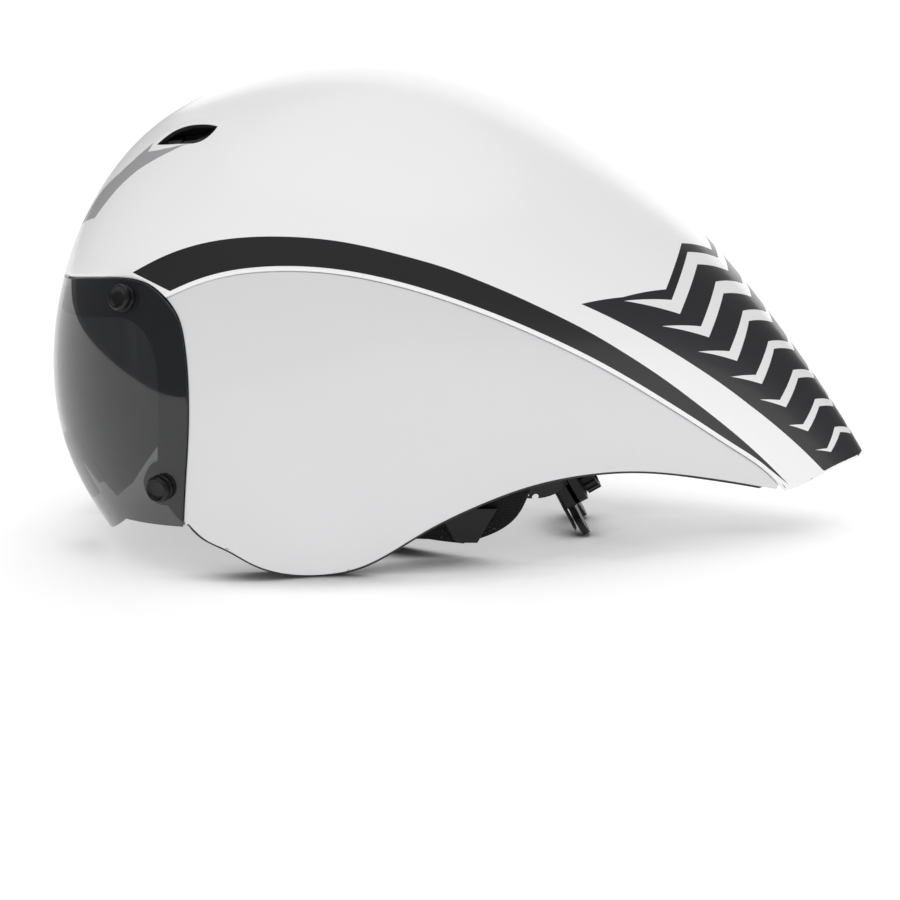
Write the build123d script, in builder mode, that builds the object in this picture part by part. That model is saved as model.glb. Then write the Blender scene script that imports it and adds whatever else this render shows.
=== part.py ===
from build123d import *
import os
from math import atan2, cos, hypot, radians, sin

os.makedirs("parts", exist_ok=True)

# Overall size of the helmet as it stands on its ear covers, in millimetres.
# X runs from the visor at -X to the tail at +X, Y across, Z up from the floor.
LENGTH = 360.0
WIDTH = 196.0
HEIGHT = 209.0
OVERRUN = 30.0

# The body is one smooth form, cut by planes that fan about an axis under the helmet.
# Each row is one plane: where it meets the crown line along the length and the height,
# then half width, height of the widest point and roundness of the crown.
HUB_LENGTH_SHARE = -0.0417
HUB_HEIGHT_SHARE = -0.359
FOOT_REACH_SHARE = 0.19
ROUND_SHARE = 0.5523
station_shares = [
    (-0.4333, 0.038, 0.439, 0.296, 0.428, 0.461),
    (-0.4750, 0.158, 0.454, 0.306, 0.448, 0.461),
    (-0.4972, 0.335, 0.469, 0.316, 0.480, 0.461),
    (-0.4828, 0.539, 0.480, 0.316, 0.529, 0.481),
    (-0.4389, 0.718, 0.487, 0.306, 0.544, 0.518),
    (-0.3686, 0.858, 0.495, 0.316, 0.535, 0.552),
    (-0.2639, 0.952, 0.500, 0.327, 0.543, 0.552),
    (-0.1297, 0.999, 0.500, 0.327, 0.578, 0.552),
    (0.0278, 0.952, 0.490, 0.327, 0.600, 0.552),
    (0.1636, 0.823, 0.449, 0.306, 0.620, 0.552),
    (0.2778, 0.663, 0.372, 0.255, 0.639, 0.552),
    (0.3992, 0.417, 0.240, 0.173, 0.705, 0.552),
    (0.4969, 0.1675, 0.128, 0.092, 0.785, 0.552),
    (0.5278, 0.067, 0.102, 0.071, 0.828, 0.552),
]

# Walls, measured inwards from the outer form.
SHELL_WALL = 2.2
SIDE_STEP = 0.8
SEAM_GAP = 0.7
FIT_GAP = 0.3
VISOR_WALL = 2.0
VISOR_GAP = 0.4
FRAME_DEPTH = 12.0
EDGE_SHOW = 1.0

# Side outlines, as shares of the length and the height.
seam_shares = [
    (-0.3389, 0.5655), (-0.2892, 0.609), (-0.2422, 0.6287), (-0.1831, 0.6316),
    (-0.1089, 0.6139), (-0.0292, 0.5742), (0.0494, 0.5158), (0.125, 0.443),
    (0.1967, 0.3579), (0.2714, 0.2584), (0.3494, 0.1526), (0.3817, 0.1105),
]
visor_top_shares = [
    (-0.5278, 0.531), (-0.478, 0.557), (-0.4489, 0.574), (-0.4214, 0.5856),
    (-0.3950, 0.5933), (-0.3822, 0.5943), (-0.3578, 0.5866), (-0.3389, 0.5655),
]
visor_rear_shares = [
    (-0.3389, 0.5655), (-0.3250, 0.535), (-0.3167, 0.488), (-0.3120, 0.400),
    (-0.3130, 0.292), (-0.3167, 0.211), (-0.3211, 0.112),
]
visor_foot_shares = [(-0.3944, 0.103), (-0.4222, 0.045), (-0.5278, 0.030)]
lower_edge_shares = [
    (-0.3150, 0.1134), (-0.2953, 0.0833), (-0.2720, 0.065), (-0.2440, 0.036),
    (-0.2100, 0.0110), (-0.1697, 0.000), (-0.1290, 0.0090), (-0.0942, 0.034),
    (-0.0356, 0.0986), (0.0222, 0.147), (0.0800, 0.177), (0.1400, 0.1875),
    (0.2130, 0.179), (0.2870, 0.151), (0.3370, 0.129), (0.3620, 0.1175),
]
tail_end_shares = [(0.3817, 0.1105), (0.3940, 0.1057), (0.4533, 0.1460), (0.4985, 0.1640)]
port_shares = [
    (-0.5278, 0.478), (-0.4650, 0.492), (-0.4170, 0.508), (-0.3875, 0.5148), (-0.3689, 0.4995),
    (-0.3569, 0.4722), (-0.3489, 0.424), (-0.3480, 0.350), (-0.3489, 0.2866),
    (-0.3500, 0.2258), (-0.3440, 0.170), (-0.3160, 0.1134),
]

# Hollow for the head: an upright oval, closed above by a round dome.
HEAD_LENGTH = 200.0
HEAD_WIDTH = 158.0
HEAD_CENTRE_SHARE = -0.0833
CROWN_FOAM = 23.0
FACE_WIDTH = 148.0
FACE_CORNER = 34.0
# The liner is moulded in five blocks, parted at the dome's foot and by two upright planes.
BROW_PART_SHARE = -0.264
CHEEK_FRONT_SHARE = -0.385
TAIL_PART_SHARE = 0.2083
# Air ways: two leaf-shaped inlets above the brow, and an exhaust channel in the tail, open below.
# Each row of the channel: place along the length, half width and roof height.
INLET_WEB = 14.0
leaf_upper_shares = [(-0.3575, 0.8373), (-0.3306, 0.8675), (-0.3000, 0.8800), (-0.2833, 0.8804)]
leaf_lower_shares = [(-0.2833, 0.8804), (-0.3036, 0.8541), (-0.3275, 0.8469), (-0.3575, 0.8373)]
DUCT_WIDTH = 16.0
DUCT_LENGTH = 12.0
DUCT_X_SHARE = -0.311
DUCT_Y = 26.0
DUCT_TOP_SHARE = 0.852
channel_shares = [(0.1400, 0.1225, 0.512), (0.2083, 0.1225, 0.512), (0.4533, 0.056, 0.230),
                  (0.5060, 0.046, 0.170)]

# Fixings of the visor
BUTTON_DIAMETER = 11.5
BUTTON_HEIGHT = 6.0
BUTTON_EDGE = 0.9
STEM_DIAMETER = 6.0
MAGNET_DIAMETER = 9.0
MAGNET_THICKNESS = 2.5
SEAT_LUG = 8.5
button_shares = {"upper": (-0.3881, 0.5545), "lower": (-0.3447, 0.1909)}
BUTTON_MAGNET = 4.0
NOSE_RADIUS = 8.0
NOSE_ANGLE = 20.0
NOSE_TOP_SHARE = 0.21
NOSE_FOOT_SHARE = 0.085
NOSE_STRIP = 2.4
NOSE_STRIP_PROUD = 1.0
NOSE_DEPTH_SHARE = -0.36
TAIL_RECESS = 4.0

# Comfort pads
PAD_THICKNESS = 6.0
BROW_PAD_HEIGHT = 24.0
BROW_PAD_WIDTH = 118.0
BROW_PAD_RISE = 3.0
CROWN_PAD_LENGTH = 110.0
CROWN_PAD_WIDTH = 46.0
SIDE_PAD_LENGTH = 74.0
SIDE_PAD_HEIGHT = 26.0
SIDE_PAD_X_SHARE = -0.075
SIDE_PAD_Z_SHARE = 0.52

# Fit system: a cradle under the back of the head, two arms and a dial
TEMPLE_X_SHARE = -0.125
TEMPLE_Z_SHARE = 0.300
SOCKET_DIAMETER = 12.0
SOCKET_DEPTH = 7.0
PIN_DIAMETER = 5.0
PIN_GAP = 0.2
PIN_HEAD_DIAMETER = 9.0
PIN_HEAD = 1.2
ARM_WALL = 1.6
ARM_HEIGHT = 15.0
ARM_END_HEIGHT = 11.0
ARM_WIDTH_RADIUS = 71.0
ARM_TRAVEL = 4.0
PIN_SPARE = 1.0
GATE_SPARE = 1.0
RACK_RUN_IN = 1.0
CRADLE_X_SHARE = 0.1278
CRADLE_LEAN = 30.0
CRADLE_WALL = 3.0
CRADLE_DISC = 13.0
LOBE_SPREAD = 15.0
LOBE_DROP = 17.0
LOBE_RADIUS = 6.0
DIAL_DIAMETER = 22.0
DIAL_THICKNESS = 6.0
DIAL_FLUTES = 18
FLUTE_DIAMETER = 2.4
PINION_DIAMETER = 7.0
PINION_TEETH = 9
PINION_TOOTH = 1.0
DIAL_DISH = 2.0
DIAL_GRIP = 5.0
RACK_HEIGHT = 3.6
RACK_LENGTH = 34.0
RACK_GAP = 0.3
HOUSING_WALL = 1.4
NAPE_INSET = 2.5
ARM_EYE = 13.0
HOUSING_WIDTH = 44.0
HOUSING_HEIGHT = 17.0
HOUSING_DEPTH = 7.0
NAPE_PAD = 3.0

# Webbing
STRAP_WIDTH = 15.0
STRAP_THICKNESS = 1.5
STRAP_TAPER_SHARE = 0.85
BUCKLE_LENGTH = 26.0
BUCKLE_WIDTH = 22.0
BUCKLE_HEIGHT = 8.0
BUCKLE_WALL = 1.5
BUCKLE_POCKET = 20.0
BUCKLE_WINDOW = 10.0
BUCKLE_X_SHARE = -0.115
TONGUE_BASE = 8.0
PRONG_WIDTH = 2.6
DIVIDER_X_SHARE = 0.0075
DIVIDER_Y_SHARE = -0.275
DIVIDER_Z_SHARE = 0.062
DIVIDER_SIZE = 26.0
DIVIDER_FOOT = 9.0
DIVIDER_DROP = 5.0
DIVIDER_RISE = 10.0
DIVIDER_THICKNESS = 1.6
STUD_DIAMETER = 8.0
STUD_LENGTH = 10.0
stud_shares = [(-0.245, 0.3765, 0.300), (0.085, 0.2985, 0.240)]
# Stations of the bands: shares of the length, the width and the height, then the way the width points.
arm_shares = [
    (-0.030, 0.347, 0.245, (0, 0, 1)), (0.020, 0.290, 0.208, (0, 0, 1)), (0.055, 0.243, 0.170, (0, 0, 1)),
]
arm_end_share = (0.098, 0.190, 0.135, (0, 0, 1))
front_strap_shares = [
    (-0.245, 0.3690, 0.300, (1, 0, 0.3)), (-0.200, 0.3680, 0.230, (1, 0, 0.5)),
    (-0.115, 0.3350, 0.140, (0.6, 0, 1)), (-0.050, 0.2875, 0.085, (0.4, 0, 1)),
]
rear_strap_shares = [
    (0.085, 0.2850, 0.240, (1, 0, -0.3)), (0.070, 0.2980, 0.180, (1, 0, -0.5)),
    (0.056, 0.2680, 0.091, (0.8, 0, -0.8)),
]
# The chin strap's rows: length and width shares, strap walls above the buckle, rise share, width aim.
chin_strap_shares = [
    (-0.035, -0.235, 1.0, 0.667, (-0.2, -0.4, 0.85)), (-0.075, -0.205, 2.0, 0.0, (-0.48, -0.86, 0.45)),
    (-0.103, -0.165, 0.5, 0.0, (-0.8, -0.5, 0.1)),
]
# Perforations of the arms, seen from the side: two round holes, a slot between and a window above.
HOLE_DIAMETER = 3.0
SLOT_LENGTH = 5.0
SLOT_HEIGHT = 1.6
WINDOW_SIZE = 5.0
hole_shares = [(0.0610, 0.1250), (0.0900, 0.1130)]
slot_share = (0.0755, 0.1190)
window_share = (0.0700, 0.1480)

hub = Vector(HUB_LENGTH_SHARE * LENGTH, 0, HUB_HEIGHT_SHARE * HEIGHT)
foot_reach = FOOT_REACH_SHARE * HEIGHT


def places(shares):
    """Points of a side outline in real sizes."""
    return [(x * LENGTH, z * HEIGHT) for x, z in shares]


def arch(reach, half_width, foot, shoulder, roundness, inset):
    """One arch of a section, from one foot over the crown to the other."""
    wide = half_width - inset
    top = reach - inset
    low = foot - inset
    knee = (shoulder + foot_reach) / 2
    crown = shoulder + roundness * (top - shoulder)
    Bezier((low, foot_reach), (wide, knee), (wide, shoulder))
    Bezier((wide, shoulder), (wide, crown), (ROUND_SHARE * wide, top), (0, top))
    Bezier((0, top), (-ROUND_SHARE * wide, top), (-wide, crown), (-wide, shoulder))
    Bezier((-wide, shoulder), (-wide, knee), (-low, foot_reach))
    return low


def helmet_sections(outer_inset, inner_inset=None):
    """Sections of the body form, closed to a wall or filled, ready to be lofted."""
    sections = []
    for x_share, z_share, wide_share, foot_share, shoulder_share, roundness in station_shares:
        run = (x_share - HUB_LENGTH_SHARE) * LENGTH
        rise = (z_share - HUB_HEIGHT_SHARE) * HEIGHT
        angle = atan2(rise, run)
        reach = hypot(rise, run)
        plane = Plane(origin=hub, x_dir=(0, 1, 0), z_dir=(sin(angle), 0, -cos(angle)))
        sizes = (reach, wide_share * WIDTH, foot_share * WIDTH, shoulder_share * reach, roundness)
        with BuildSketch(plane) as section:
            with BuildLine():
                outer_foot = arch(*sizes, outer_inset)
                if inner_inset is None:
                    Line((-outer_foot, foot_reach), (outer_foot, foot_reach))
                else:
                    inner_foot = arch(*sizes, inner_inset)
                    Line((outer_foot, foot_reach), (inner_foot, foot_reach))
                    Line((-outer_foot, foot_reach), (-inner_foot, foot_reach))
            make_face()
        sections.append(section.sketch)
    return sections


front = -LENGTH / 2 - OVERRUN
rear = LENGTH / 2 + OVERRUN
above = HEIGHT + OVERRUN
below = -OVERRUN


def closed(draw, region=Plane.XZ):
    """A sketch of one closed outline drawn by a function."""
    with BuildSketch(region) as sketch:
        with BuildLine():
            draw()
        make_face()
    return sketch.sketch


def upper_outline():
    """Side view of the upper shell: above the visor, the seam and the tail end."""
    brow = places(visor_top_shares)
    end = places(tail_end_shares)
    Polyline(brow[0], (front, brow[0][1]), (front, above), (rear, above), (rear, end[-1][1]), end[-1])
    Spline(*end)
    Spline(*places(seam_shares))
    Spline(*brow)


def side_outline():
    """Side view of an ear cover shell: behind the visor, under the seam."""
    notch = places(seam_shares)[0]
    corner = (notch[0] + SEAM_GAP, notch[1] - SEAM_GAP)
    seam = [(x, z - SEAM_GAP) for x, z in places(seam_shares[1:-1])]
    edge = [(x, z + EDGE_SHOW) for x, z in places(lower_edge_shares)]
    back = places(visor_rear_shares[1:])
    Spline(corner, *seam)
    Line(seam[-1], edge[-1])
    Spline(*edge)
    Line(edge[0], back[-1])
    Spline(corner, *back)


def visor_region(gap):
    """Side view of the visor, open towards the front, with a gap to the shells behind."""
    notch = places(seam_shares)[0]
    corner = (notch[0] - gap, notch[1] - gap)
    brow = [(x, z - gap) for x, z in places(visor_top_shares[:-1])]
    back = [(x - gap, z) for x, z in places(visor_rear_shares[1:])]
    foot = places(visor_foot_shares)

    def outline():
        Spline(*brow, corner)
        Spline(corner, *back)
        Polyline(back[-1], *foot, brow[0])

    return closed(outline)


def port_outline():
    """Side view of the clear opening in front of the face."""
    edge = places(port_shares)
    Spline(*edge)
    Polyline(edge[-1], (edge[-1][0], below), (edge[0][0], below), edge[0])


def liner_outline():
    """Side view of the foam liner, whose lower edge shows under the ear covers."""
    edge = places(lower_edge_shares)
    end = [(x, z + TAIL_RECESS) for x, z in places(tail_end_shares)]
    port = places(port_shares)
    Spline(*edge)
    Line(edge[-1], end[0])
    Spline(*end)
    Polyline(end[-1], (rear, end[-1][1]), (rear, above), (front, above), (front, port[0][1]), port[0])
    Spline(*port)
    Line(port[-1], edge[0])


def leaf_outline():
    """Side view of an air inlet above the brow."""
    Spline(*places(leaf_upper_shares))
    Spline(*places(leaf_lower_shares))


def nose_outline(inset):
    """Front view of the notch for the nose: a round top and spreading sides."""
    radius = NOSE_RADIUS - inset
    centre = NOSE_TOP_SHARE * HEIGHT - NOSE_RADIUS
    slope = radians(NOSE_ANGLE)
    side = (radius * cos(slope), centre + radius * sin(slope))
    foot = (radius / cos(slope) + (centre - below) * sin(slope) / cos(slope), below)
    ThreePointArc((-side[0], side[1]), (0, centre + radius), side)
    Polyline(side, foot, (-foot[0], foot[1]), (-side[0], side[1]))


head_x = HEAD_CENTRE_SHARE * LENGTH
head_spring = HEIGHT - CROWN_FOAM - HEAD_WIDTH / 2
duct_top = DUCT_TOP_SHARE * HEIGHT
rack_offset = PINION_DIAMETER / 2 + RACK_GAP + RACK_HEIGHT / 2
nose_depth = NOSE_DEPTH_SHARE * LENGTH - front
pin_end = ARM_WIDTH_RADIUS - ARM_WALL - ARM_TRAVEL - PIN_SPARE
temple = Vector(TEMPLE_X_SHARE * LENGTH, 0, TEMPLE_Z_SHARE * HEIGHT)
socket_depth = HEAD_WIDTH / 2 + SOCKET_DEPTH


def head_form(clearance):
    """The hollow for the head, taken in by a clearance."""
    long_radius = HEAD_LENGTH / 2 - clearance
    wide_radius = HEAD_WIDTH / 2 - clearance
    with BuildPart() as form:
        with BuildSketch(Plane.XY.offset(below)):
            with Locations((head_x, 0)):
                Ellipse(long_radius, wide_radius)
        extrude(amount=head_spring - below)
        with BuildSketch(Plane.XZ):
            with Locations((head_x, head_spring)):
                Ellipse(long_radius, wide_radius)
                Rectangle(LENGTH, HEIGHT, align=(Align.CENTER, Align.MAX), mode=Mode.SUBTRACT)
        revolve(axis=Axis((head_x, 0, head_spring), (1, 0, 0)), revolution_arc=360)
    return form.part


def face_form():
    """The opening in front of the face, below the brow."""
    brow = places(port_shares)[3][1]
    with BuildPart() as form:
        with BuildSketch(Plane.YZ.offset(front)):
            with Locations((0, brow)):
                RectangleRounded(FACE_WIDTH, brow - 2 * below, FACE_CORNER, align=(Align.CENTER, Align.MAX))
        extrude(amount=head_x - front)
    return form.part


def save(part, name):
    """Names a finished piece and writes it."""
    part.label = name
    export_step(part, f"parts/{name}.step")


def mirrored(part):
    """The same piece for the other side of the helmet."""
    with BuildPart() as other:
        mirror(part, about=Plane.XZ)
    return other.part


port_region = closed(port_outline)

# Upper shell, with its two leaf-shaped air inlets
with BuildPart() as upper_shell:
    loft(helmet_sections(0, SHELL_WALL))
    extrude(closed(upper_outline), amount=WIDTH, both=True, mode=Mode.INTERSECT)
    extrude(closed(leaf_outline), amount=WIDTH, both=True, mode=Mode.SUBTRACT)
save(upper_shell.part, "upper_shell")

# Ear cover shells, one step below the upper shell, with an open groove between
with BuildPart() as left_side_shell:
    loft(helmet_sections(SIDE_STEP, SHELL_WALL))
    extrude(closed(side_outline), amount=WIDTH, both=True, mode=Mode.INTERSECT)
    split(bisect_by=Plane.XZ, keep=Keep.TOP)
save(left_side_shell.part, "left_side_shell")
save(mirrored(left_side_shell.part), "right_side_shell")

# Visor lens, flush with the shells, with the notch for the nose
with BuildPart() as lens:
    loft(helmet_sections(0, VISOR_WALL))
    extrude(visor_region(VISOR_GAP), amount=WIDTH, both=True, mode=Mode.INTERSECT)
    extrude(closed(lambda: nose_outline(0), Plane.YZ.offset(front)), amount=nose_depth,
            mode=Mode.SUBTRACT)

# Frame behind the visor, which carries the magnets
with BuildSketch(Plane.XZ) as frame_region:
    add(visor_region(FIT_GAP))
    add(port_region, mode=Mode.SUBTRACT)
    with Locations(*places(button_shares.values())):
        Circle(SEAT_LUG)
with BuildPart() as visor_frame:
    loft(helmet_sections(VISOR_WALL + VISOR_GAP, FRAME_DEPTH))
    extrude(frame_region.sketch, amount=WIDTH, both=True, mode=Mode.INTERSECT)

# Each button stands square on the visor; a magnet in its stem meets one in the frame
button_planes = {}
for place_name, (x_share, z_share) in button_shares.items():
    line = Axis((x_share * LENGTH, 0, z_share * HEIGHT), (0, -1, 0))
    point, normal = min(lens.part.find_intersection_points(line), key=lambda hit: hit[0].Y)
    outward = normal if normal.Y < 0 else -normal
    button_planes[f"left_{place_name}"] = Plane(origin=point, z_dir=outward)
    button_planes[f"right_{place_name}"] = Plane(
        origin=(point.X, -point.Y, point.Z), z_dir=(outward.X, -outward.Y, outward.Z))

seat_depth = VISOR_WALL + VISOR_GAP
frame_magnet_solids = []
button_magnet_solids = []
for place_name, plane in button_planes.items():
    with BuildPart() as hole:
        with BuildSketch(plane):
            Circle(STEM_DIAMETER / 2 + PIN_GAP)
        extrude(amount=seat_depth, both=True)
    with BuildPart() as pocket:
        with BuildSketch(plane.offset(-seat_depth - MAGNET_THICKNESS - PIN_GAP)):
            Circle(MAGNET_DIAMETER / 2 + PIN_GAP)
        extrude(amount=MAGNET_THICKNESS + seat_depth)
    with BuildPart() as frame_magnet:
        with BuildSketch(plane.offset(-seat_depth - MAGNET_THICKNESS)):
            Circle(MAGNET_DIAMETER / 2)
        extrude(amount=MAGNET_THICKNESS)
    with BuildPart() as button:
        with BuildSketch(plane):
            Circle(BUTTON_DIAMETER / 2)
        extrude(amount=BUTTON_HEIGHT)
        rim = button.edges().filter_by(GeomType.CIRCLE).sort_by(Axis(plane.origin, plane.z_dir))[-1]
        chamfer(rim, BUTTON_EDGE)
        with BuildSketch(plane.offset(-VISOR_WALL)):
            Circle(STEM_DIAMETER / 2)
        extrude(amount=VISOR_WALL)
        with BuildSketch(plane.offset(-VISOR_WALL)):
            Circle(BUTTON_MAGNET / 2 + PIN_GAP)
        extrude(amount=BUTTON_MAGNET + PIN_GAP, mode=Mode.SUBTRACT)
    with BuildPart() as button_magnet:
        with BuildSketch(plane.offset(-VISOR_WALL)):
            Circle(BUTTON_MAGNET / 2)
        extrude(amount=BUTTON_MAGNET)
    lens.part = lens.part - hole.part
    visor_frame.part = visor_frame.part - pocket.part
    frame_magnet_solids.append(frame_magnet.part)
    button_magnet_solids.append(button_magnet.part)
    save(button.part, f"button_{place_name}")
save(lens.part, "lens")
save(visor_frame.part, "visor_frame")
save(Compound(children=frame_magnet_solids), "frame_magnets")
save(Compound(children=button_magnet_solids), "button_magnets")

# Soft strip over the edge of the nose notch
with BuildPart() as nose_strip:
    loft(helmet_sections(-NOSE_STRIP_PROUD, VISOR_WALL + NOSE_STRIP_PROUD))
    with BuildSketch(Plane.YZ.offset(front)) as strip_front:
        add(closed(lambda: nose_outline(PIN_GAP)))
        add(closed(lambda: nose_outline(PIN_GAP + NOSE_STRIP)), mode=Mode.SUBTRACT)
        with Locations((0, NOSE_FOOT_SHARE * HEIGHT)):
            Rectangle(WIDTH, HEIGHT, align=(Align.CENTER, Align.MAX), mode=Mode.SUBTRACT)
    extrude(strip_front.sketch, amount=nose_depth, mode=Mode.INTERSECT)
save(nose_strip.part, "nose_strip")

# Foam of the liner: fills the shells, hollow for the head, open in front, with its air ways
with BuildPart() as frame_room:
    loft(helmet_sections(0, FRAME_DEPTH + FIT_GAP))
    extrude(visor_region(-FIT_GAP), amount=WIDTH, both=True, mode=Mode.INTERSECT)
with BuildPart() as foam:
    loft(helmet_sections(SHELL_WALL + FIT_GAP))
    extrude(closed(liner_outline), amount=WIDTH, both=True, mode=Mode.INTERSECT)
    add(frame_room.part, mode=Mode.SUBTRACT)
    add(head_form(0), mode=Mode.SUBTRACT)
    add(face_form(), mode=Mode.SUBTRACT)
    for side in (1, -1):
        extrude(closed(leaf_outline, Plane.XZ.offset(side * INLET_WEB)), amount=side * WIDTH,
                mode=Mode.SUBTRACT)
        with BuildSketch(Plane.XY.offset(head_spring)):
            with Locations((DUCT_X_SHARE * LENGTH, side * DUCT_Y)):
                Rectangle(DUCT_LENGTH, DUCT_WIDTH)
        extrude(amount=duct_top - head_spring, mode=Mode.SUBTRACT)
    for x_share, half_share, roof_share in channel_shares:
        with BuildSketch(Plane.YZ.offset(x_share * LENGTH)):
            with Locations((0, below)):
                Rectangle(2 * half_share * WIDTH, roof_share * HEIGHT - below, align=(Align.CENTER, Align.MIN))
    loft(ruled=True, mode=Mode.SUBTRACT)
    with BuildSketch(Plane.XZ):
        with Locations((temple.X, temple.Z)):
            Circle(SOCKET_DIAMETER / 2 + FIT_GAP)
    extrude(amount=socket_depth + FIT_GAP, both=True, mode=Mode.SUBTRACT)
    for x_share, y_share, z_share in stud_shares:
        with BuildSketch(Plane.XZ):
            with Locations((x_share * LENGTH, z_share * HEIGHT)):
                Circle(STUD_DIAMETER / 2 + FIT_GAP)
        extrude(amount=y_share * WIDTH + STUD_LENGTH + FIT_GAP, both=True, mode=Mode.SUBTRACT)

# The foam's five blocks, each between two stations along the length and two heights
brow_part = BROW_PART_SHARE * LENGTH
tail_part = TAIL_PART_SHARE * LENGTH
block_ranges = {
    "brow_liner": (front, brow_part, head_spring, above),
    "crown_liner": (brow_part, tail_part, head_spring, above),
    "cheek_liner": (CHEEK_FRONT_SHARE * LENGTH, tail_part, below, head_spring),
    "tail_liner": (tail_part, rear, below, above),
}
for name, (x_low, x_high, z_low, z_high) in block_ranges.items():
    with BuildPart() as block:
        add(foam.part)
        with BuildSketch(Plane.XZ):
            with Locations((x_low, z_low)):
                Rectangle(x_high - x_low, z_high - z_low, align=Align.MIN)
        extrude(amount=WIDTH, both=True, mode=Mode.INTERSECT)
        if name == "cheek_liner":
            split(bisect_by=Plane.XZ, keep=Keep.TOP)
    if name == "cheek_liner":
        save(block.part, "left_cheek_liner")
        save(mirrored(block.part), "right_cheek_liner")
    else:
        save(block.part, name)


def pad_block(clear, thick):
    """The room between the head hollow and the inner face of a pad."""
    with BuildPart() as room:
        add(head_form(clear))
        add(head_form(clear + thick), mode=Mode.SUBTRACT)
    return room.part


# Comfort pads, glued inside the liner
pad_room = pad_block(FIT_GAP, PAD_THICKNESS)
brow_z = places(port_shares)[3][1]
with BuildPart() as brow_pad:
    with BuildSketch(Plane.YZ.offset(front)):
        with Locations((0, brow_z + BROW_PAD_RISE)):
            RectangleRounded(BROW_PAD_WIDTH, BROW_PAD_HEIGHT, BROW_PAD_HEIGHT / 3,
                             align=(Align.CENTER, Align.MIN))
    extrude(amount=head_x - front)
    add(pad_room, mode=Mode.INTERSECT)
save(brow_pad.part, "brow_pad")

with BuildPart() as crown_pad:
    with BuildSketch(Plane.XY.offset(head_spring)):
        with Locations((head_x, 0)):
            SlotOverall(CROWN_PAD_LENGTH, CROWN_PAD_WIDTH)
    extrude(amount=HEIGHT)
    add(pad_room, mode=Mode.INTERSECT)
save(crown_pad.part, "crown_pad")

with BuildPart() as left_side_pad:
    with BuildSketch(Plane.XZ):
        with Locations((SIDE_PAD_X_SHARE * LENGTH, SIDE_PAD_Z_SHARE * HEIGHT)):
            SlotOverall(SIDE_PAD_LENGTH, SIDE_PAD_HEIGHT)
    extrude(amount=WIDTH)
    add(pad_room, mode=Mode.INTERSECT)
save(left_side_pad.part, "left_side_pad")
save(mirrored(left_side_pad.part), "right_side_pad")

# Temple pins: a socket in the liner, a shaft for the arm's eye and a head that keeps it
with BuildPart() as left_temple_pin:
    with BuildSketch(Plane.XZ.offset(HEAD_WIDTH / 2)):
        with Locations((temple.X, temple.Z)):
            Circle(SOCKET_DIAMETER / 2)
    extrude(amount=SOCKET_DEPTH)
    with BuildSketch(Plane.XZ.offset(pin_end)):
        with Locations((temple.X, temple.Z)):
            Circle(PIN_DIAMETER / 2)
    extrude(amount=HEAD_WIDTH / 2 - pin_end)
    with BuildSketch(Plane.XZ.offset(pin_end - PIN_HEAD)):
        with Locations((temple.X, temple.Z)):
            Circle(PIN_HEAD_DIAMETER / 2)
    extrude(amount=PIN_HEAD)
save(left_temple_pin.part, "left_temple_pin")
save(mirrored(left_temple_pin.part), "right_temple_pin")


def ribbon(stations, thickness):
    """Sections of a flat band; a station is a centre, the way its width points, and the width."""
    centres = [Vector(*station[0]) for station in stations]
    sections = []
    for number, (centre, aim, width) in enumerate(stations):
        before = centres[max(number - 1, 0)]
        after = centres[min(number + 1, len(centres) - 1)]
        run = (after - before).normalized()
        aim = Vector(*aim)
        across = (aim - run * aim.dot(run)).normalized()
        with BuildSketch(Plane(origin=centres[number], x_dir=across, z_dir=run)) as section:
            Rectangle(width, thickness)
        sections.append(section.sketch)
    return sections


def band_rows(shares, side, width):
    """Stations of a band on one side of the helmet, from a table of shares."""
    return [((x * LENGTH, side * y * WIDTH, z * HEIGHT), aim, width) for x, y, z, aim in shares]


# The cradle leans back; its lobes stand on the floor. Local X is across, local Y up along it.
lean = radians(CRADLE_LEAN)
cradle_z = (LOBE_DROP + LOBE_RADIUS) * cos(lean) + CRADLE_WALL * sin(lean)
cradle_plane = Plane(
    origin=(CRADLE_X_SHARE * LENGTH, 0, cradle_z), x_dir=(0, 1, 0), z_dir=(cos(lean), 0, sin(lean)))
rack_depth = HOUSING_WALL + PIN_GAP
lobe_reach = hypot(LOBE_SPREAD, LOBE_DROP)

with BuildPart() as cradle:
    with BuildSketch(cradle_plane.offset(-CRADLE_WALL)):
        Circle(CRADLE_DISC)
        for side in (1, -1):
            with BuildLine():
                Polyline((-side * CRADLE_DISC / 2, 0), (side * LOBE_SPREAD - side * LOBE_RADIUS, -LOBE_DROP),
                         (side * LOBE_SPREAD + side * LOBE_RADIUS, -LOBE_DROP), (side * CRADLE_DISC, 0),
                         close=True)
            make_face()
            with Locations((side * LOBE_SPREAD, -LOBE_DROP)):
                Circle(LOBE_RADIUS)
        RectangleRounded(HOUSING_WIDTH, HOUSING_HEIGHT, HOUSING_HEIGHT / 4)
    extrude(amount=CRADLE_WALL)
    with BuildSketch(cradle_plane):
        RectangleRounded(HOUSING_WIDTH, HOUSING_HEIGHT, HOUSING_HEIGHT / 4)
    extrude(amount=HOUSING_DEPTH)
    with BuildSketch(cradle_plane.offset(HOUSING_WALL)):
        Rectangle(HOUSING_WIDTH + OVERRUN, rack_offset * 2 + RACK_HEIGHT + 2 * PIN_GAP)
    extrude(amount=ARM_WALL + 2 * PIN_GAP, mode=Mode.SUBTRACT)
    with BuildSketch(cradle_plane.offset(HOUSING_WALL)):
        Circle(PINION_DIAMETER / 2 + PIN_GAP)
    extrude(amount=HOUSING_DEPTH, mode=Mode.SUBTRACT)
save(cradle.part, "cradle")

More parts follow.
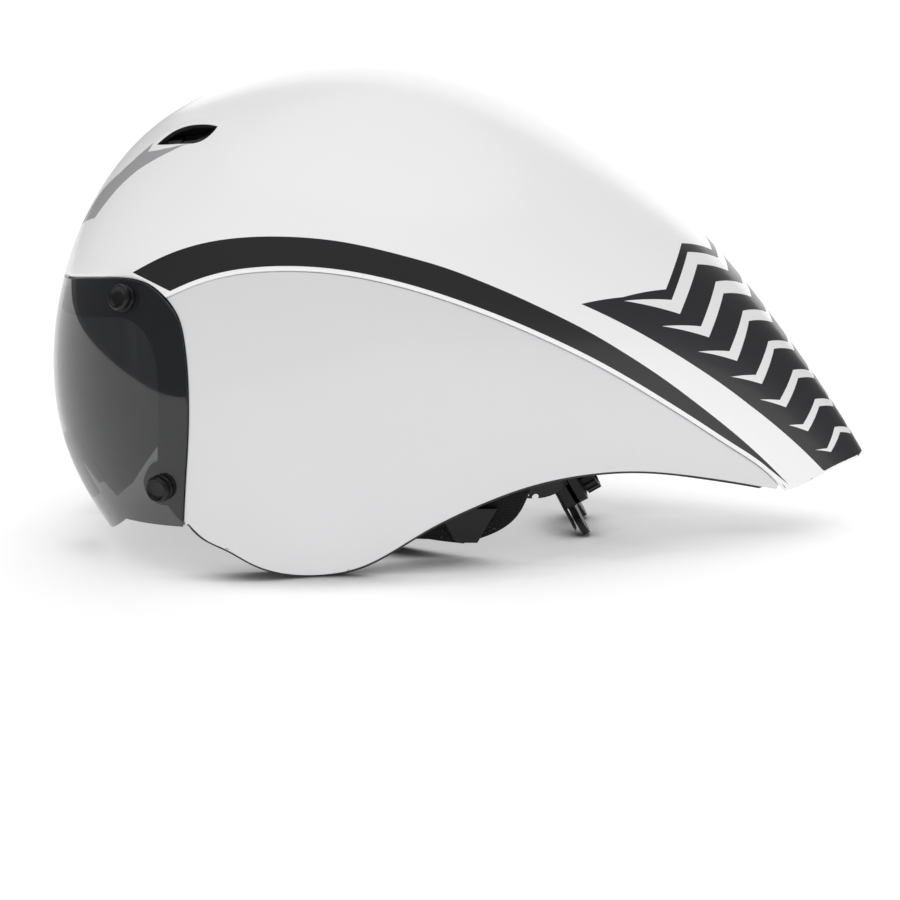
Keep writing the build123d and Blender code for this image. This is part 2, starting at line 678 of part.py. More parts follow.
with BuildPart() as nape_pad:
    with BuildSketch(cradle_plane.offset(-CRADLE_WALL - FIT_GAP - NAPE_PAD)):
        for side in (1, -1):
            with Locations((side * LOBE_SPREAD, -LOBE_DROP)):
                Circle(LOBE_RADIUS - NAPE_INSET)
            with BuildLine():
                Polyline((0, CRADLE_DISC / 2), (side * CRADLE_DISC / 2, CRADLE_DISC / 2),
                         (side * (LOBE_SPREAD + LOBE_RADIUS - NAPE_INSET), -LOBE_DROP),
                         (side * (LOBE_SPREAD - LOBE_RADIUS + NAPE_INSET), -LOBE_DROP), (0, 0), close=True)
            make_face()
    extrude(amount=NAPE_PAD)
save(nape_pad.part, "nape_pad")

# Fit arms: an eye on the temple pin, a springy band and a toothed rack in the housing
arm_y = ARM_WIDTH_RADIUS
gate_reach = HOUSING_WIDTH / 2 + ARM_TRAVEL + GATE_SPARE
for name, side in (("left_arm", -1), ("right_arm", 1)):
    rack_rise = -side * rack_offset
    gate = cradle_plane.from_local_coords(
        Vector(side * gate_reach, rack_rise, rack_depth + ARM_WALL / 2))
    with BuildPart() as arm:
        band = [
            ((temple.X, side * arm_y, temple.Z), (0, 0, 1), ARM_END_HEIGHT),
            ((temple.X + ARM_EYE, side * arm_y, temple.Z - ARM_EYE / 3), (0, 0, 1), ARM_HEIGHT),
            *band_rows(arm_shares, side, ARM_HEIGHT),
            *band_rows([arm_end_share], side, ARM_END_HEIGHT),
            ((gate.X, gate.Y, gate.Z), (-sin(lean), 0, cos(lean)), RACK_HEIGHT),
        ]
        loft(ribbon(band, ARM_WALL))
        with BuildSketch(Plane.XZ.offset(-side * arm_y - ARM_WALL / 2)):
            with Locations((temple.X, temple.Z)):
                Circle(ARM_EYE / 2)
        extrude(amount=ARM_WALL)
        with BuildSketch(Plane.XZ.offset(-side * arm_y - ARM_WALL)):
            with Locations((temple.X, temple.Z)):
                Circle(PIN_DIAMETER / 2 + PIN_GAP)
        extrude(amount=2 * ARM_WALL, mode=Mode.SUBTRACT)
        with BuildSketch(Plane.XZ):
            with Locations(*places(hole_shares)):
                Circle(HOLE_DIAMETER / 2)
            with Locations(*places([slot_share])):
                SlotOverall(SLOT_LENGTH, SLOT_HEIGHT)
            with Locations(*places([window_share])):
                RegularPolygon(WINDOW_SIZE / 2, 3, rotation=90)
        extrude(amount=-side * arm_y, mode=Mode.SUBTRACT)
        with BuildSketch(cradle_plane.offset(rack_depth)):
            with Locations((side * (gate_reach + RACK_RUN_IN - RACK_LENGTH / 2), rack_rise)):
                Rectangle(RACK_LENGTH, RACK_HEIGHT)
        extrude(amount=ARM_WALL)
    save(arm.part, name)

# Dial with a fluted rim, and the pinion behind it between the two racks
with BuildPart() as dial:
    with BuildSketch(cradle_plane.offset(HOUSING_DEPTH + FIT_GAP)):
        Circle(DIAL_DIAMETER / 2)
        with PolarLocations(DIAL_DIAMETER / 2, DIAL_FLUTES):
            Circle(FLUTE_DIAMETER / 2, mode=Mode.SUBTRACT)
    extrude(amount=DIAL_THICKNESS)
    with BuildSketch(cradle_plane.offset(HOUSING_DEPTH + FIT_GAP + DIAL_THICKNESS - DIAL_DISH)):
        Circle(DIAL_DIAMETER / 2 - FLUTE_DIAMETER)
        Rectangle(DIAL_DIAMETER, DIAL_GRIP, mode=Mode.SUBTRACT)
    extrude(amount=DIAL_DISH, mode=Mode.SUBTRACT)
save(dial.part, "dial")

with BuildPart() as pinion:
    with BuildSketch(cradle_plane.offset(rack_depth)):
        Circle(PINION_DIAMETER / 2)
        with PolarLocations(PINION_DIAMETER / 2, PINION_TEETH):
            Circle(PINION_TOOTH / 2, mode=Mode.SUBTRACT)
    extrude(amount=HOUSING_DEPTH - rack_depth + FIT_GAP)
save(pinion.part, "pinion")

# Webbing of one side: a front and a rear strap meet at the divider under the ear,
# and the chin strap runs on from there, turning to lie flat at the buckle
fold = STRAP_THICKNESS + 3 * FIT_GAP
buckle = Vector(BUCKLE_X_SHARE * LENGTH, 0, BUCKLE_HEIGHT / 2)


def side_webbing(end_y, end_z):
    """The left side's straps and divider; the chin strap ends flat at end_y, end_z."""
    meet_y = DIVIDER_Y_SHARE * WIDTH
    x = DIVIDER_X_SHARE * LENGTH
    z = DIVIDER_Z_SHARE * HEIGHT
    narrow = STRAP_WIDTH * STRAP_TAPER_SHARE
    front_strap = band_rows(front_strap_shares, -1, STRAP_WIDTH) + [((x, meet_y, z), (0, 0, 1), narrow)]
    rear_strap = band_rows(rear_strap_shares, -1, STRAP_WIDTH)
    rear_strap.append(((x, meet_y + fold, z), (0.8, 0, -0.8), narrow))
    chin_strap = [((x, meet_y + 2 * fold, z), (0, 0, 1), narrow)]
    for x_share, y_share, walls, rise_share, aim in chin_strap_shares:
        height = end_z + rise_share * (z - end_z) + walls * STRAP_THICKNESS
        chin_strap.append(((x_share * LENGTH, y_share * WIDTH, height), aim, narrow))
    chin_strap.append(((buckle.X, end_y - STRAP_WIDTH / 2, end_z), (-1, 0, 0), narrow))
    chin_strap.append(((buckle.X, end_y, end_z), (-1, 0, 0), narrow))
    pieces = []
    for stations in (front_strap, rear_strap, chin_strap):
        with BuildPart() as strap:
            loft(ribbon(stations, STRAP_THICKNESS))
        pieces.append(strap.part)
    with BuildPart() as divider:
        with BuildSketch(Plane.XZ.offset(-meet_y + STRAP_THICKNESS + 2 * FIT_GAP)):
            with BuildLine():
                Polyline((x - DIVIDER_FOOT / 2, z - DIVIDER_DROP),
                         (x - DIVIDER_SIZE / 2, z + DIVIDER_RISE),
                         (x + DIVIDER_SIZE / 2, z + DIVIDER_RISE),
                         (x + DIVIDER_FOOT / 2, z - DIVIDER_DROP), close=True)
            make_face()
        extrude(amount=DIVIDER_THICKNESS)
    pieces.append(divider.part)
    return pieces


strap_names = ("front_strap", "rear_strap", "chin_strap", "divider")
left_webbing = side_webbing(-BUCKLE_LENGTH / 2 - FIT_GAP, buckle.Z)
over_tongue = BUCKLE_HEIGHT + FIT_GAP + STRAP_THICKNESS / 2
right_webbing = [mirrored(part) for part in side_webbing(-BUCKLE_LENGTH / 2 - 2 * FIT_GAP, over_tongue)]
for name, left_part, right_part in zip(strap_names, left_webbing, right_webbing):
    save(left_part, f"left_{name}")
    save(right_part, f"right_{name}")

# Studs that hold the straps in the liner
with BuildPart() as strap_studs:
    for x_share, y_share, z_share in stud_shares:
        with BuildSketch(Plane.XZ.offset(y_share * WIDTH)):
            with Locations((x_share * LENGTH, z_share * HEIGHT)):
                Circle(STUD_DIAMETER / 2)
        extrude(amount=STUD_LENGTH)
    mirror(about=Plane.XZ)
save(strap_studs.part, "strap_studs")

# Side-release buckle: a hollow socket with windows, and a tongue with two springy prongs
with BuildPart() as buckle_socket:
    with BuildSketch(Plane.XY):
        with Locations((buckle.X, 0)):
            RectangleRounded(BUCKLE_WIDTH, BUCKLE_LENGTH, BUCKLE_WIDTH / 6)
    extrude(amount=BUCKLE_HEIGHT)
    with BuildSketch(Plane.XZ.offset(-BUCKLE_LENGTH / 2)):
        with Locations((buckle.X, buckle.Z)):
            Rectangle(BUCKLE_WIDTH - 2 * BUCKLE_WALL, BUCKLE_HEIGHT - 2 * BUCKLE_WALL)
    extrude(amount=BUCKLE_POCKET, mode=Mode.SUBTRACT)
    with BuildSketch(Plane.XY.offset(BUCKLE_WALL)):
        for side in (1, -1):
            with Locations((buckle.X + side * BUCKLE_WIDTH / 2, 0)):
                SlotOverall(BUCKLE_WINDOW, BUCKLE_WALL * 3, rotation=90)
    extrude(amount=BUCKLE_HEIGHT - 2 * BUCKLE_WALL, mode=Mode.SUBTRACT)
save(buckle_socket.part, "buckle_socket")

with BuildPart() as buckle_tongue:
    with BuildSketch(Plane.XY.offset(BUCKLE_WALL + PIN_GAP)):
        with Locations((buckle.X, BUCKLE_LENGTH / 2 - BUCKLE_POCKET + BUCKLE_WALL)):
            for side in (1, -1):
                with Locations((side * (BUCKLE_WIDTH / 2 - 2 * BUCKLE_WALL), 0)):
                    Rectangle(PRONG_WIDTH, BUCKLE_POCKET - BUCKLE_WALL, align=(Align.CENTER, Align.MIN))
            Rectangle(PRONG_WIDTH, BUCKLE_POCKET - BUCKLE_WALL, align=(Align.CENTER, Align.MIN))
    extrude(amount=BUCKLE_HEIGHT - 2 * BUCKLE_WALL - 2 * PIN_GAP)
    with BuildSketch(Plane.XY):
        with Locations((buckle.X, BUCKLE_LENGTH / 2 + FIT_GAP)):
            Rectangle(BUCKLE_WIDTH, TONGUE_BASE - FIT_GAP, align=(Align.CENTER, Align.MIN))
    extrude(amount=BUCKLE_HEIGHT)
    with BuildSketch(Plane.XY.offset(BUCKLE_WALL + PIN_GAP)):
        with Locations((buckle.X, BUCKLE_LENGTH / 2 - BUCKLE_WALL)):
            Rectangle(BUCKLE_WIDTH - 3 * BUCKLE_WALL, 2 * BUCKLE_WALL, align=(Align.CENTER, Align.MIN))
    extrude(amount=BUCKLE_HEIGHT - 2 * BUCKLE_WALL - 2 * PIN_GAP)
save(buckle_tongue.part, "buckle_tongue")
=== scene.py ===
import math
import bmesh
import bpy
import numpy as np
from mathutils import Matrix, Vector, kdtree
from mathutils.geometry import delaunay_2d_cdt


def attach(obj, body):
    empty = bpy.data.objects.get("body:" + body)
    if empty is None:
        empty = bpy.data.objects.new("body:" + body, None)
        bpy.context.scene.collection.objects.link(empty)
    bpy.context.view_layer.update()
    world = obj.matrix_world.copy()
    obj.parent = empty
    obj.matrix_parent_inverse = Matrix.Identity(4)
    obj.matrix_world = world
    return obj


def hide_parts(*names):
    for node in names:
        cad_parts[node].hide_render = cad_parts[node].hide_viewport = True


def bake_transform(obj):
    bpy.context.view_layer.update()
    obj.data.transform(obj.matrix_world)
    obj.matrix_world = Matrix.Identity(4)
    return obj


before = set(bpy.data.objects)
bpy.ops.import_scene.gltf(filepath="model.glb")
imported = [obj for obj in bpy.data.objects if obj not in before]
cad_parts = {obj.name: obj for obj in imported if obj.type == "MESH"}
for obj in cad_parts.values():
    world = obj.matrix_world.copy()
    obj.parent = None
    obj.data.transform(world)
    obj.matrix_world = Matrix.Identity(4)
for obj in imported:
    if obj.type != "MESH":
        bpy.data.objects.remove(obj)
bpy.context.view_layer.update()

# Upper shell
# A thin thermoformed cover of crown and tail, lacquered white, with rolled edges.
# Its stripe, wedges and tail zigzags are films under the lacquer, so they lie in the same
# surface. Two leaf-shaped inlets above the brow have a soft raised lip.
LENGTH, WIDTH, HEIGHT = 0.360, 0.196, 0.209
HUB_X, HUB_Z = -0.0417 * LENGTH, -0.359 * HEIGHT
FOOT_REACH = 0.19 * HEIGHT
ROUND_SHARE = 0.5523
SHELL_WALL = 0.0022
SHELL_EDGE_RADIUS = 0.0014
INLET_EDGE_RADIUS = 0.0008
# How far apart points lie inside a sheet, along its edge and along a film's straight side
SHEET_STEP = 0.0032
EDGE_STEP = 0.0016
FILM_STEP = 2 * EDGE_STEP
ROW_SHARE = 0.866
MERGE_GAP = 1e-7
SLIVER_AREA = 1e-11
NUDGE = 1e-4
CUT_POINTS = 400
STRIPE_FOOT_SKIP, STRIPE_FOOT_END = 6, 0.134
LIP_HEIGHT = 0.0009
LIP_SPREAD = 0.0065
LIP_FADE = 0.004
# Crown line point, half width, foot width, widest point's height and crown roundness, per arch
station_shares = np.array([
    (0.5278, 0.067, 0.102, 0.071, 0.828, 0.552), (0.4969, 0.1675, 0.128, 0.092, 0.785, 0.552),
    (0.3992, 0.417, 0.240, 0.173, 0.705, 0.552), (0.2778, 0.663, 0.372, 0.255, 0.639, 0.552),
    (0.1636, 0.823, 0.449, 0.306, 0.620, 0.552), (0.0278, 0.952, 0.490, 0.327, 0.600, 0.552),
    (-0.1297, 0.999, 0.500, 0.327, 0.578, 0.552), (-0.2639, 0.952, 0.500, 0.327, 0.543, 0.552),
    (-0.3686, 0.858, 0.495, 0.316, 0.535, 0.552), (-0.4389, 0.718, 0.487, 0.306, 0.544, 0.518),
    (-0.4828, 0.539, 0.480, 0.316, 0.529, 0.481), (-0.4972, 0.335, 0.469, 0.316, 0.480, 0.461),
    (-0.4750, 0.158, 0.454, 0.306, 0.448, 0.461), (-0.4333, 0.038, 0.439, 0.296, 0.428, 0.461)])
# Where the upper shell's lower edge runs along the ear cover: side view, in millimetres
seam_points = [
    (-122.0, 118.2), (-109.6, 124.1), (-94.6, 128.7), (-79.7, 130.8), (-64.8, 131.3), (-50.0, 130.4),
    (-35.5, 128.1), (-20.9, 124.6), (-6.0, 119.9), (8.4, 114.4), (23.3, 107.8), (38.3, 100.2),
    (53.3, 91.6), (68.9, 81.4), (84.7, 70.0), (101.2, 57.5), (117.8, 44.7), (134.7, 30.9),
    (139.2, 25.9), (142.0, 22.6)]
# Edges and inlets in side view, in shares of the length and the height
visor_top_shares = [
    (-0.5278, 0.531), (-0.478, 0.557), (-0.4489, 0.574), (-0.4214, 0.5856),
    (-0.3950, 0.5933), (-0.3822, 0.5943), (-0.3578, 0.5866), (-0.3389, 0.5655)]
tail_end_shares = [(0.39444, 0.10813), (0.4180, 0.1195), (0.4533, 0.1460), (0.4985, 0.1640)]
leaf_upper_shares = [(-0.3575, 0.8373), (-0.3306, 0.8675), (-0.3000, 0.8800), (-0.2833, 0.8804)]
leaf_lower_shares = [(-0.2833, 0.8804), (-0.3036, 0.8541), (-0.3275, 0.8469), (-0.3575, 0.8373)]
# Outlines of the films, in millimetres: side view for the stripe, else X, Y, Z
stripe_top = [
    (-136.4, 126.6), (-125.2, 133.1), (-109.9, 139.4), (-94.7, 142.8), (-79.8, 144.2), (-64.7, 144.3),
    (-50.2, 143.2), (-35.3, 140.6), (-20.9, 137.1), (-6.1, 132.7), (8.6, 126.9), (23.3, 120.2),
    (38.1, 112.5), (53.4, 103.6), (68.8, 93.1), (84.7, 81.1), (100.8, 67.5), (117.5, 52.5),
    (134.5, 35.6), (143.5, 25.8)]
# How far above the seam the stripe's lower edge runs, along the length, in millimetres
stripe_lift = [(-122, 1.7), (-60, 1.8), (0, 1.9), (60, 2.2), (100, 2.5), (135, 2.6)]
wedge = [
    (-165.4, -5.3, 135.5), (-153.9, -15.2, 153.7), (-145.5, -22.3, 162.1), (-139.5, -24.6, 167.7),
    (-133.9, -25.3, 172.7), (-130.2, -26.5, 175.2), (-132.7, -28.8, 172.0), (-128.0, -33.3, 173.3),
    (-122.5, -37.1, 174.7), (-115.2, -40.8, 176.7), (-122.4, -39.3, 173.5), (-130.3, -36.9, 169.0),
    (-137.3, -34.1, 164.4), (-144.5, -31.7, 157.9), (-149.9, -30.1, 151.7), (-156.2, -27.6, 143.4)]
zigzag_field = [
    (49.6, -77.0, 115.5), (67.5, -66.2, 116.4), (86.4, -52.2, 117.1), (94.3, -31.0, 133.2),
    (108.9, -13.2, 127.3), (106.8, 0.0, 131.7), (182.0, 0.0, 31.0), (162.0, -20.3, 29.0),
    (150.2, -24.9, 40.6), (124.0, -38.5, 64.2), (98.5, -53.1, 84.7), (73.2, -66.6, 102.4)]
# Each zigzag: tip, lower bend, upper bend, crown bend, its two ends on the crown line, and back
zigzags = [
    [(68.0, -66.4, 114.8), (88.9, -52.4, 112.7), (96.8, -32.0, 129.5), (111.5, -14.3, 123.9),
     (111.0, 0, 127.9), (114.2, 0, 123.0), (116.1, -15.0, 118.3), (101.1, -32.3, 124.3),
     (92.5, -52.1, 106.5)],
    [(84.5, -59.1, 102.7), (101.9, -47.1, 100.2), (109.3, -29.8, 116.3), (122.6, -10.5, 111.5),
     (122.3, 0, 114.4), (125.0, 0, 111.4), (126.6, -12.6, 106.5), (112.7, -30.2, 111.3),
     (105.5, -46.0, 95.3)],
    [(100.5, -50.9, 90.0), (114.7, -40.9, 88.1), (121.6, -26.1, 102.9), (133.8, -8.0, 98.9),
     (133.2, 0, 101.5), (135.1, 0, 99.2), (136.4, -10.0, 94.7), (124.3, -26.4, 98.5), (118.2, -39.5, 83.6)],
    [(115.5, -42.7, 77.3), (126.9, -34.7, 76.5), (133.3, -22.7, 88.9), (143.9, -7.9, 85.6),
     (144.0, 0, 88.9), (145.7, 0, 86.1), (146.5, -7.5, 81.6), (135.9, -22.0, 85.4), (129.8, -33.6, 72.3)],
    [(128.9, -35.3, 65.8), (138.3, -29.2, 64.3), (144.9, -18.4, 75.3), (153.5, -6.3, 72.4),
     (153.6, 0, 76.0), (155.3, 0, 72.4), (155.9, -6.3, 69.0), (147.2, -18.2, 71.6), (141.2, -27.9, 60.8)],
    [(142.7, -28.1, 52.9), (149.3, -24.0, 52.3), (155.3, -15.4, 61.7), (163.0, -5.2, 59.2),
     (162.8, 0, 62.6), (164.5, 0, 59.9), (165.0, -5.5, 56.3), (157.2, -15.3, 58.4), (151.7, -23.1, 49.0)],
    [(155.4, -22.2, 40.5), (160.8, -19.0, 40.4), (164.6, -13.0, 48.6), (171.8, -4.0, 46.4),
     (172.3, 0, 49.8), (173.6, 0, 47.2), (173.3, -4.4, 43.7), (167.2, -11.6, 45.9), (162.6, -18.2, 38.5)]]


def bends(knots, rows):
    """Second derivatives of the smooth curve through rows at knots."""
    gaps = np.diff(knots)
    count = len(knots)
    system = np.zeros((count, count))
    right = np.zeros_like(rows)
    system[0, 0] = system[-1, -1] = 1
    for i in range(1, count - 1):
        system[i, i - 1:i + 2] = gaps[i - 1], 2 * (gaps[i - 1] + gaps[i]), gaps[i]
        right[i] = 6 * ((rows[i + 1] - rows[i]) / gaps[i] - (rows[i] - rows[i - 1]) / gaps[i - 1])
    return np.linalg.solve(system, right)


def along(knots, rows, bent, at):
    """Values of that smooth curve."""
    i = np.clip(np.searchsorted(knots, at) - 1, 0, len(knots) - 2)
    gap = (knots[i + 1] - knots[i])[..., None]
    left = (knots[i + 1] - at)[..., None] / gap
    gone = (at - knots[i])[..., None] / gap
    sway = (left**3 - left) * bent[i] + (gone**3 - gone) * bent[i + 1]
    return left * rows[i] + gone * rows[i + 1] + sway * gap**2 / 6


def distances(points):
    """How far along a line of points each one lies."""
    return np.concatenate([[0], np.cumsum(np.linalg.norm(np.diff(points, axis=0), axis=1))])


def unit(rows):
    """Rows of vectors, each made one long."""
    return rows / np.linalg.norm(rows, axis=1)[:, None]


crown_x = station_shares[:, 0] * LENGTH - HUB_X
crown_z = station_shares[:, 1] * HEIGHT - HUB_Z
crown_reach = np.hypot(crown_x, crown_z)
station_turn = np.arctan2(crown_z, crown_x)
station_rows = np.stack([crown_reach, station_shares[:, 2] * WIDTH, station_shares[:, 3] * WIDTH,
                         station_shares[:, 4] * crown_reach, station_shares[:, 5]], 1)
station_bends = bends(station_turn, station_rows)


def form(turn, over, inset=0.0):
    """Points of the body form. over is 0 on the crown line, 1 at the widest point, 2 at the foot,
    positive on the wearer's left."""
    reach, wide, foot, shoulder, roundness = np.moveaxis(
        along(station_turn, station_rows, station_bends, np.asarray(turn, float)), -1, 0)
    reach, wide, foot = reach - inset, wide - inset, foot - inset
    crown = shoulder + roundness * (reach - shoulder)
    knee = (shoulder + FOOT_REACH) / 2
    far = np.abs(over)
    share = np.clip(far, 0, 1)
    rest = 1 - share
    across_up = (3 * rest * rest * share * ROUND_SHARE * wide + 3 * rest * share * share * wide
                 + share**3 * wide)
    reach_up = (rest**3 * reach + 3 * rest * rest * share * reach + 3 * rest * share * share * crown
                + share**3 * shoulder)
    share = np.clip(far - 1, 0, 1)
    rest = 1 - share
    across_low = rest * rest * wide + 2 * rest * share * wide + share * share * foot
    reach_low = rest * rest * shoulder + 2 * rest * share * knee + share * share * FOOT_REACH
    across = np.where(far > 1, across_low, across_up) * np.sign(over)
    reach = np.where(far > 1, reach_low, reach_up)
    return np.stack([HUB_X + reach * np.cos(turn), -across, HUB_Z + reach * np.sin(turn)], -1)


def facing(surface, turn, over):
    """Which way a surface faces at sheet places, of any length."""
    return np.cross(surface(turn + NUDGE, over) - surface(turn - NUDGE, over),
                    surface(turn, over + NUDGE) - surface(turn, over - NUDGE))


def from_hub(points):
    """Turn and reach of side-view points about the hub."""
    run, rise = points[..., 0] - HUB_X, points[..., 1] - HUB_Z
    return np.arctan2(rise, run), np.hypot(run, rise)


def halved(low, high, short, steps=44):
    """Where short stops being true between low and high, found by halving."""
    for _ in range(steps):
        middle = (low + high) / 2
        before = short(middle)
        low, high = np.where(before, middle, low), np.where(before, high, middle)
    return (low + high) / 2


def smooth_line(points, step=0.0004):
    """A dense smooth line through points."""
    points = np.asarray(points, float)
    knots = distances(points)
    at = np.linspace(0, knots[-1], max(int(knots[-1] / step), 2))
    if len(points) < 3:
        return points[0] + (points[-1] - points[0]) * (at / knots[-1])[:, None]
    return along(knots, points, bends(knots, points), at)


def from_side(points, inset=0.0):
    """Sheet places (turn, over) of side-view points, on the wearer's left."""
    turn, reach = from_hub(points)

    def outside(over):
        return from_hub(form(turn, over, inset)[:, ::2])[1] > reach

    return np.stack([turn, halved(np.zeros(len(points)), np.full(len(points), 2.0), outside)], 1)


def from_space(points):
    """Sheet places of points near the crown line, found from their turn and their width."""
    points = np.asarray(points, float) / 1000
    turn = from_hub(points[:, ::2])[0]

    def narrow(over):
        return form(turn, over)[:, 1] > points[:, 1]

    return np.stack([turn, halved(np.zeros(len(points)), np.ones(len(points)), narrow)], 1)


def to_crown(line, inset=0.0):
    """Sheet places of a side-view line whose last point lies beyond the crown line: it is cut
    there, with its points closing up towards the cut."""
    def beyond(points):
        turn, reach = from_hub(points)
        return reach > from_hub(form(turn, 0 * turn, inset)[..., ::2])[1]

    past = beyond(line)
    last = int(np.argmax(past)) if past.any() else len(line) - 1
    inner, outer = line[last - 1], line[last]
    for _ in range(40):
        middle = (inner + outer) / 2
        if beyond(middle):
            outer = middle
        else:
            inner = middle
    kept = np.concatenate([line[:last], [inner]])
    lengths = distances(kept)
    at = (1 - (1 - np.linspace(0, 1, CUT_POINTS))**2) * lengths[-1]
    closing_up = np.stack([np.interp(at, lengths, kept[:, k]) for k in (0, 1)], 1)
    places = from_side(closing_up, inset)
    places[-1, 1] = 0
    return places


def spaced(places, step, inset=0.0):
    """The same sheet line with evenly spaced points."""
    lengths = distances(form(*places.T, inset))
    count = max(int(round(lengths[-1] / step)), 1)
    at = np.linspace(0, lengths[-1], count + 1)
    return np.stack([np.interp(at, lengths, places[:, k]) for k in (0, 1)], 1)


def both_sides(half):
    """A closed outline from its left half, which starts and ends on the crown line."""
    return np.concatenate([half, half[-2:0:-1] * (1, -1)])


def inside(outline, places):
    """Which places lie inside a closed outline."""
    result = np.zeros(len(places), bool)
    x, y = places[:, 0], places[:, 1]
    for (x1, y1), (x2, y2) in zip(outline, np.roll(outline, -1, axis=0)):
        if y1 != y2:
            crosses = (y1 > y) != (y2 > y)
            result ^= crosses & (x < (x2 - x1) * (y - y1) / (y2 - y1) + x1)
    return result


def triangles_of(outline, holes, films):
    """A flat sheet cut into triangles: its points, the three corners of each triangle, and each
    triangle's slot, which is 0, or 1 and up for the film on top there."""
    corners, edges = [], []
    for line in [outline, *holes, *films]:
        first = len(corners)
        corners += [tuple(row) for row in line]
        edges += [(first + i, first + (i + 1) % len(line)) for i in range(len(line))]
    tree = kdtree.KDTree(len(corners))
    for i, corner in enumerate(corners):
        tree.insert((*corner, 0), i)
    tree.balance()

    def on_sheet(points):
        kept = inside(outline, points)
        for hole in holes:
            kept &= ~inside(hole, points)
        return kept

    low, high = outline.min(0), outline.max(0)
    rows = np.arange(low[1] + SHEET_STEP / 2, high[1], SHEET_STEP * ROW_SHARE)
    grid = np.array([(x + (number % 2) * SHEET_STEP / 2, y) for number, y in enumerate(rows)
                     for x in np.arange(low[0], high[0], SHEET_STEP)])
    grid = grid[on_sheet(grid)]
    corners += [tuple(spot) for spot in grid if tree.find((*spot, 0))[2] > 0.5 * SHEET_STEP]
    flat, _, faces, *_ = delaunay_2d_cdt([Vector(corner) for corner in corners], edges, [], 0, MERGE_GAP)
    flat = np.array([tuple(spot) for spot in flat])
    faces = np.array([face for face in faces if len(face) == 3])
    centres = flat[faces].mean(1)
    one, two, three = (flat[faces[:, k]] for k in range(3))
    area = ((two[:, 0] - one[:, 0]) * (three[:, 1] - one[:, 1])
            - (two[:, 1] - one[:, 1]) * (three[:, 0] - one[:, 0]))
    kept = on_sheet(centres) & (np.abs(area) > SLIVER_AREA)
    faces, centres, area = faces[kept], centres[kept], area[kept]
    faces[area < 0] = faces[area < 0][:, ::-1]
    slots = np.zeros(len(faces), int)
    for number, film in enumerate(films):
        slots[inside(film, centres)] = number + 1
    used, faces = np.unique(faces, return_inverse=True)
    return flat[used], faces.reshape(-1, 3), slots


# Metres of shell for one unit of a sheet's two coordinates, roughly
SHEET_SCALE = np.array([0.24, 0.13])


def moulded_sheet(name, outline, holes, films, inset, wall, edge_radius, hole_radius, lift=None,
                  hole_slot=0):
    """A curved sheet of one wall thickness with rolled edges. films is a list of closed outlines,
    the first at the bottom; each takes its own material slot, 1 and up; the base is slot 0."""
    holes, films = [hole * SHEET_SCALE for hole in holes], [film * SHEET_SCALE for film in films]
    flat, faces, slots = triangles_of(outline * SHEET_SCALE, holes, films)
    places = (flat / SHEET_SCALE).T

    def surface(turn, over):
        points = form(turn, over, inset)
        return points if lift is None else lift(points)

    points = surface(*places)
    normals = unit(facing(surface, *places))
    directed = {(int(face[k]), int(face[(k + 1) % 3])) for face in faces for k in range(3)}
    rim_edges = sorted((p, q) for p, q in directed if (q, p) not in directed)
    outward = {}
    for p, q in rim_edges:
        run = points[q] - points[p]
        side = np.cross(run / max(np.linalg.norm(run), 1e-9), normals[p])
        for corner in (p, q):
            outward[corner] = outward.get(corner, np.zeros(3)) + side
    rim = sorted(outward)
    at_rim = {corner: number for number, corner in enumerate(rim)}
    ways = np.array([outward[corner] / max(np.linalg.norm(outward[corner]), 1e-9) for corner in rim])
    rim_points, rim_normals = points[rim], normals[rim]
    radius = np.full((len(rim), 1), edge_radius)
    for hole in holes:
        gaps = np.linalg.norm(flat[rim][:, None] - hole[None], axis=2).min(1)
        radius[gaps < EDGE_STEP] = hole_radius
    outer = points.copy()
    outer[rim] = rim_points - ways * radius
    vertices = [outer]
    rim_rows = [(np.array(rim), rim_normals)]
    total = len(points)
    for angle in (30, 60, 90):
        sine, cosine = math.sin(math.radians(angle)), math.cos(math.radians(angle))
        vertices.append(rim_points - ways * radius * (1 - sine) - rim_normals * radius * (1 - cosine))
        rim_rows.append((np.arange(len(rim)) + total, rim_normals * cosine + ways * sine))
        total += len(rim)
    inner_start = total
    vertices.append(points - normals * wall)
    rim_rows.append((np.array(rim) + inner_start, ways))
    mesh_faces = [tuple(int(i) for i in face) for face in faces]
    corner_normals = [normals[face] for face in faces]
    mesh_slots = list(slots)
    at_hole = radius[:, 0] == hole_radius
    for level, (upper, lower) in enumerate(zip(rim_rows, rim_rows[1:])):
        for p, q in rim_edges:
            i, j = at_rim[p], at_rim[q]
            around = ((upper, j), (upper, i), (lower, i), (lower, j))
            mesh_faces.append(tuple(int(numbers[k]) for (numbers, _), k in around))
            corner_normals.append(np.array([ways_out[k] for (_, ways_out), k in around]))
            mesh_slots.append(hole_slot if level > 1 and at_hole[i] else 0)
    for face in faces:
        mesh_faces.append(tuple(int(i) + inner_start for i in face[::-1]))
        corner_normals.append(-normals[face[::-1]])
        mesh_slots.append(0)
    mesh = bpy.data.meshes.new(name)
    mesh.from_pydata(np.concatenate(vertices).tolist(), [], mesh_faces)
    mesh.polygons.foreach_set("use_smooth", [True] * len(mesh_faces))
    mesh.polygons.foreach_set("material_index", [int(slot) for slot in mesh_slots])
    mesh.normals_split_custom_set(np.concatenate(corner_normals).tolist())
    return mesh


def finished(name, mesh, materials, body, slot, *replaced):
    """A piece in its place, with its materials, its body and the CAD nodes that it stands for."""
    piece = bpy.data.objects.new(name, mesh)
    bpy.context.scene.collection.objects.link(piece)
    for material in materials:
        mesh.materials.append(material)
    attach(piece, body)
    if replaced:
        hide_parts(*replaced)


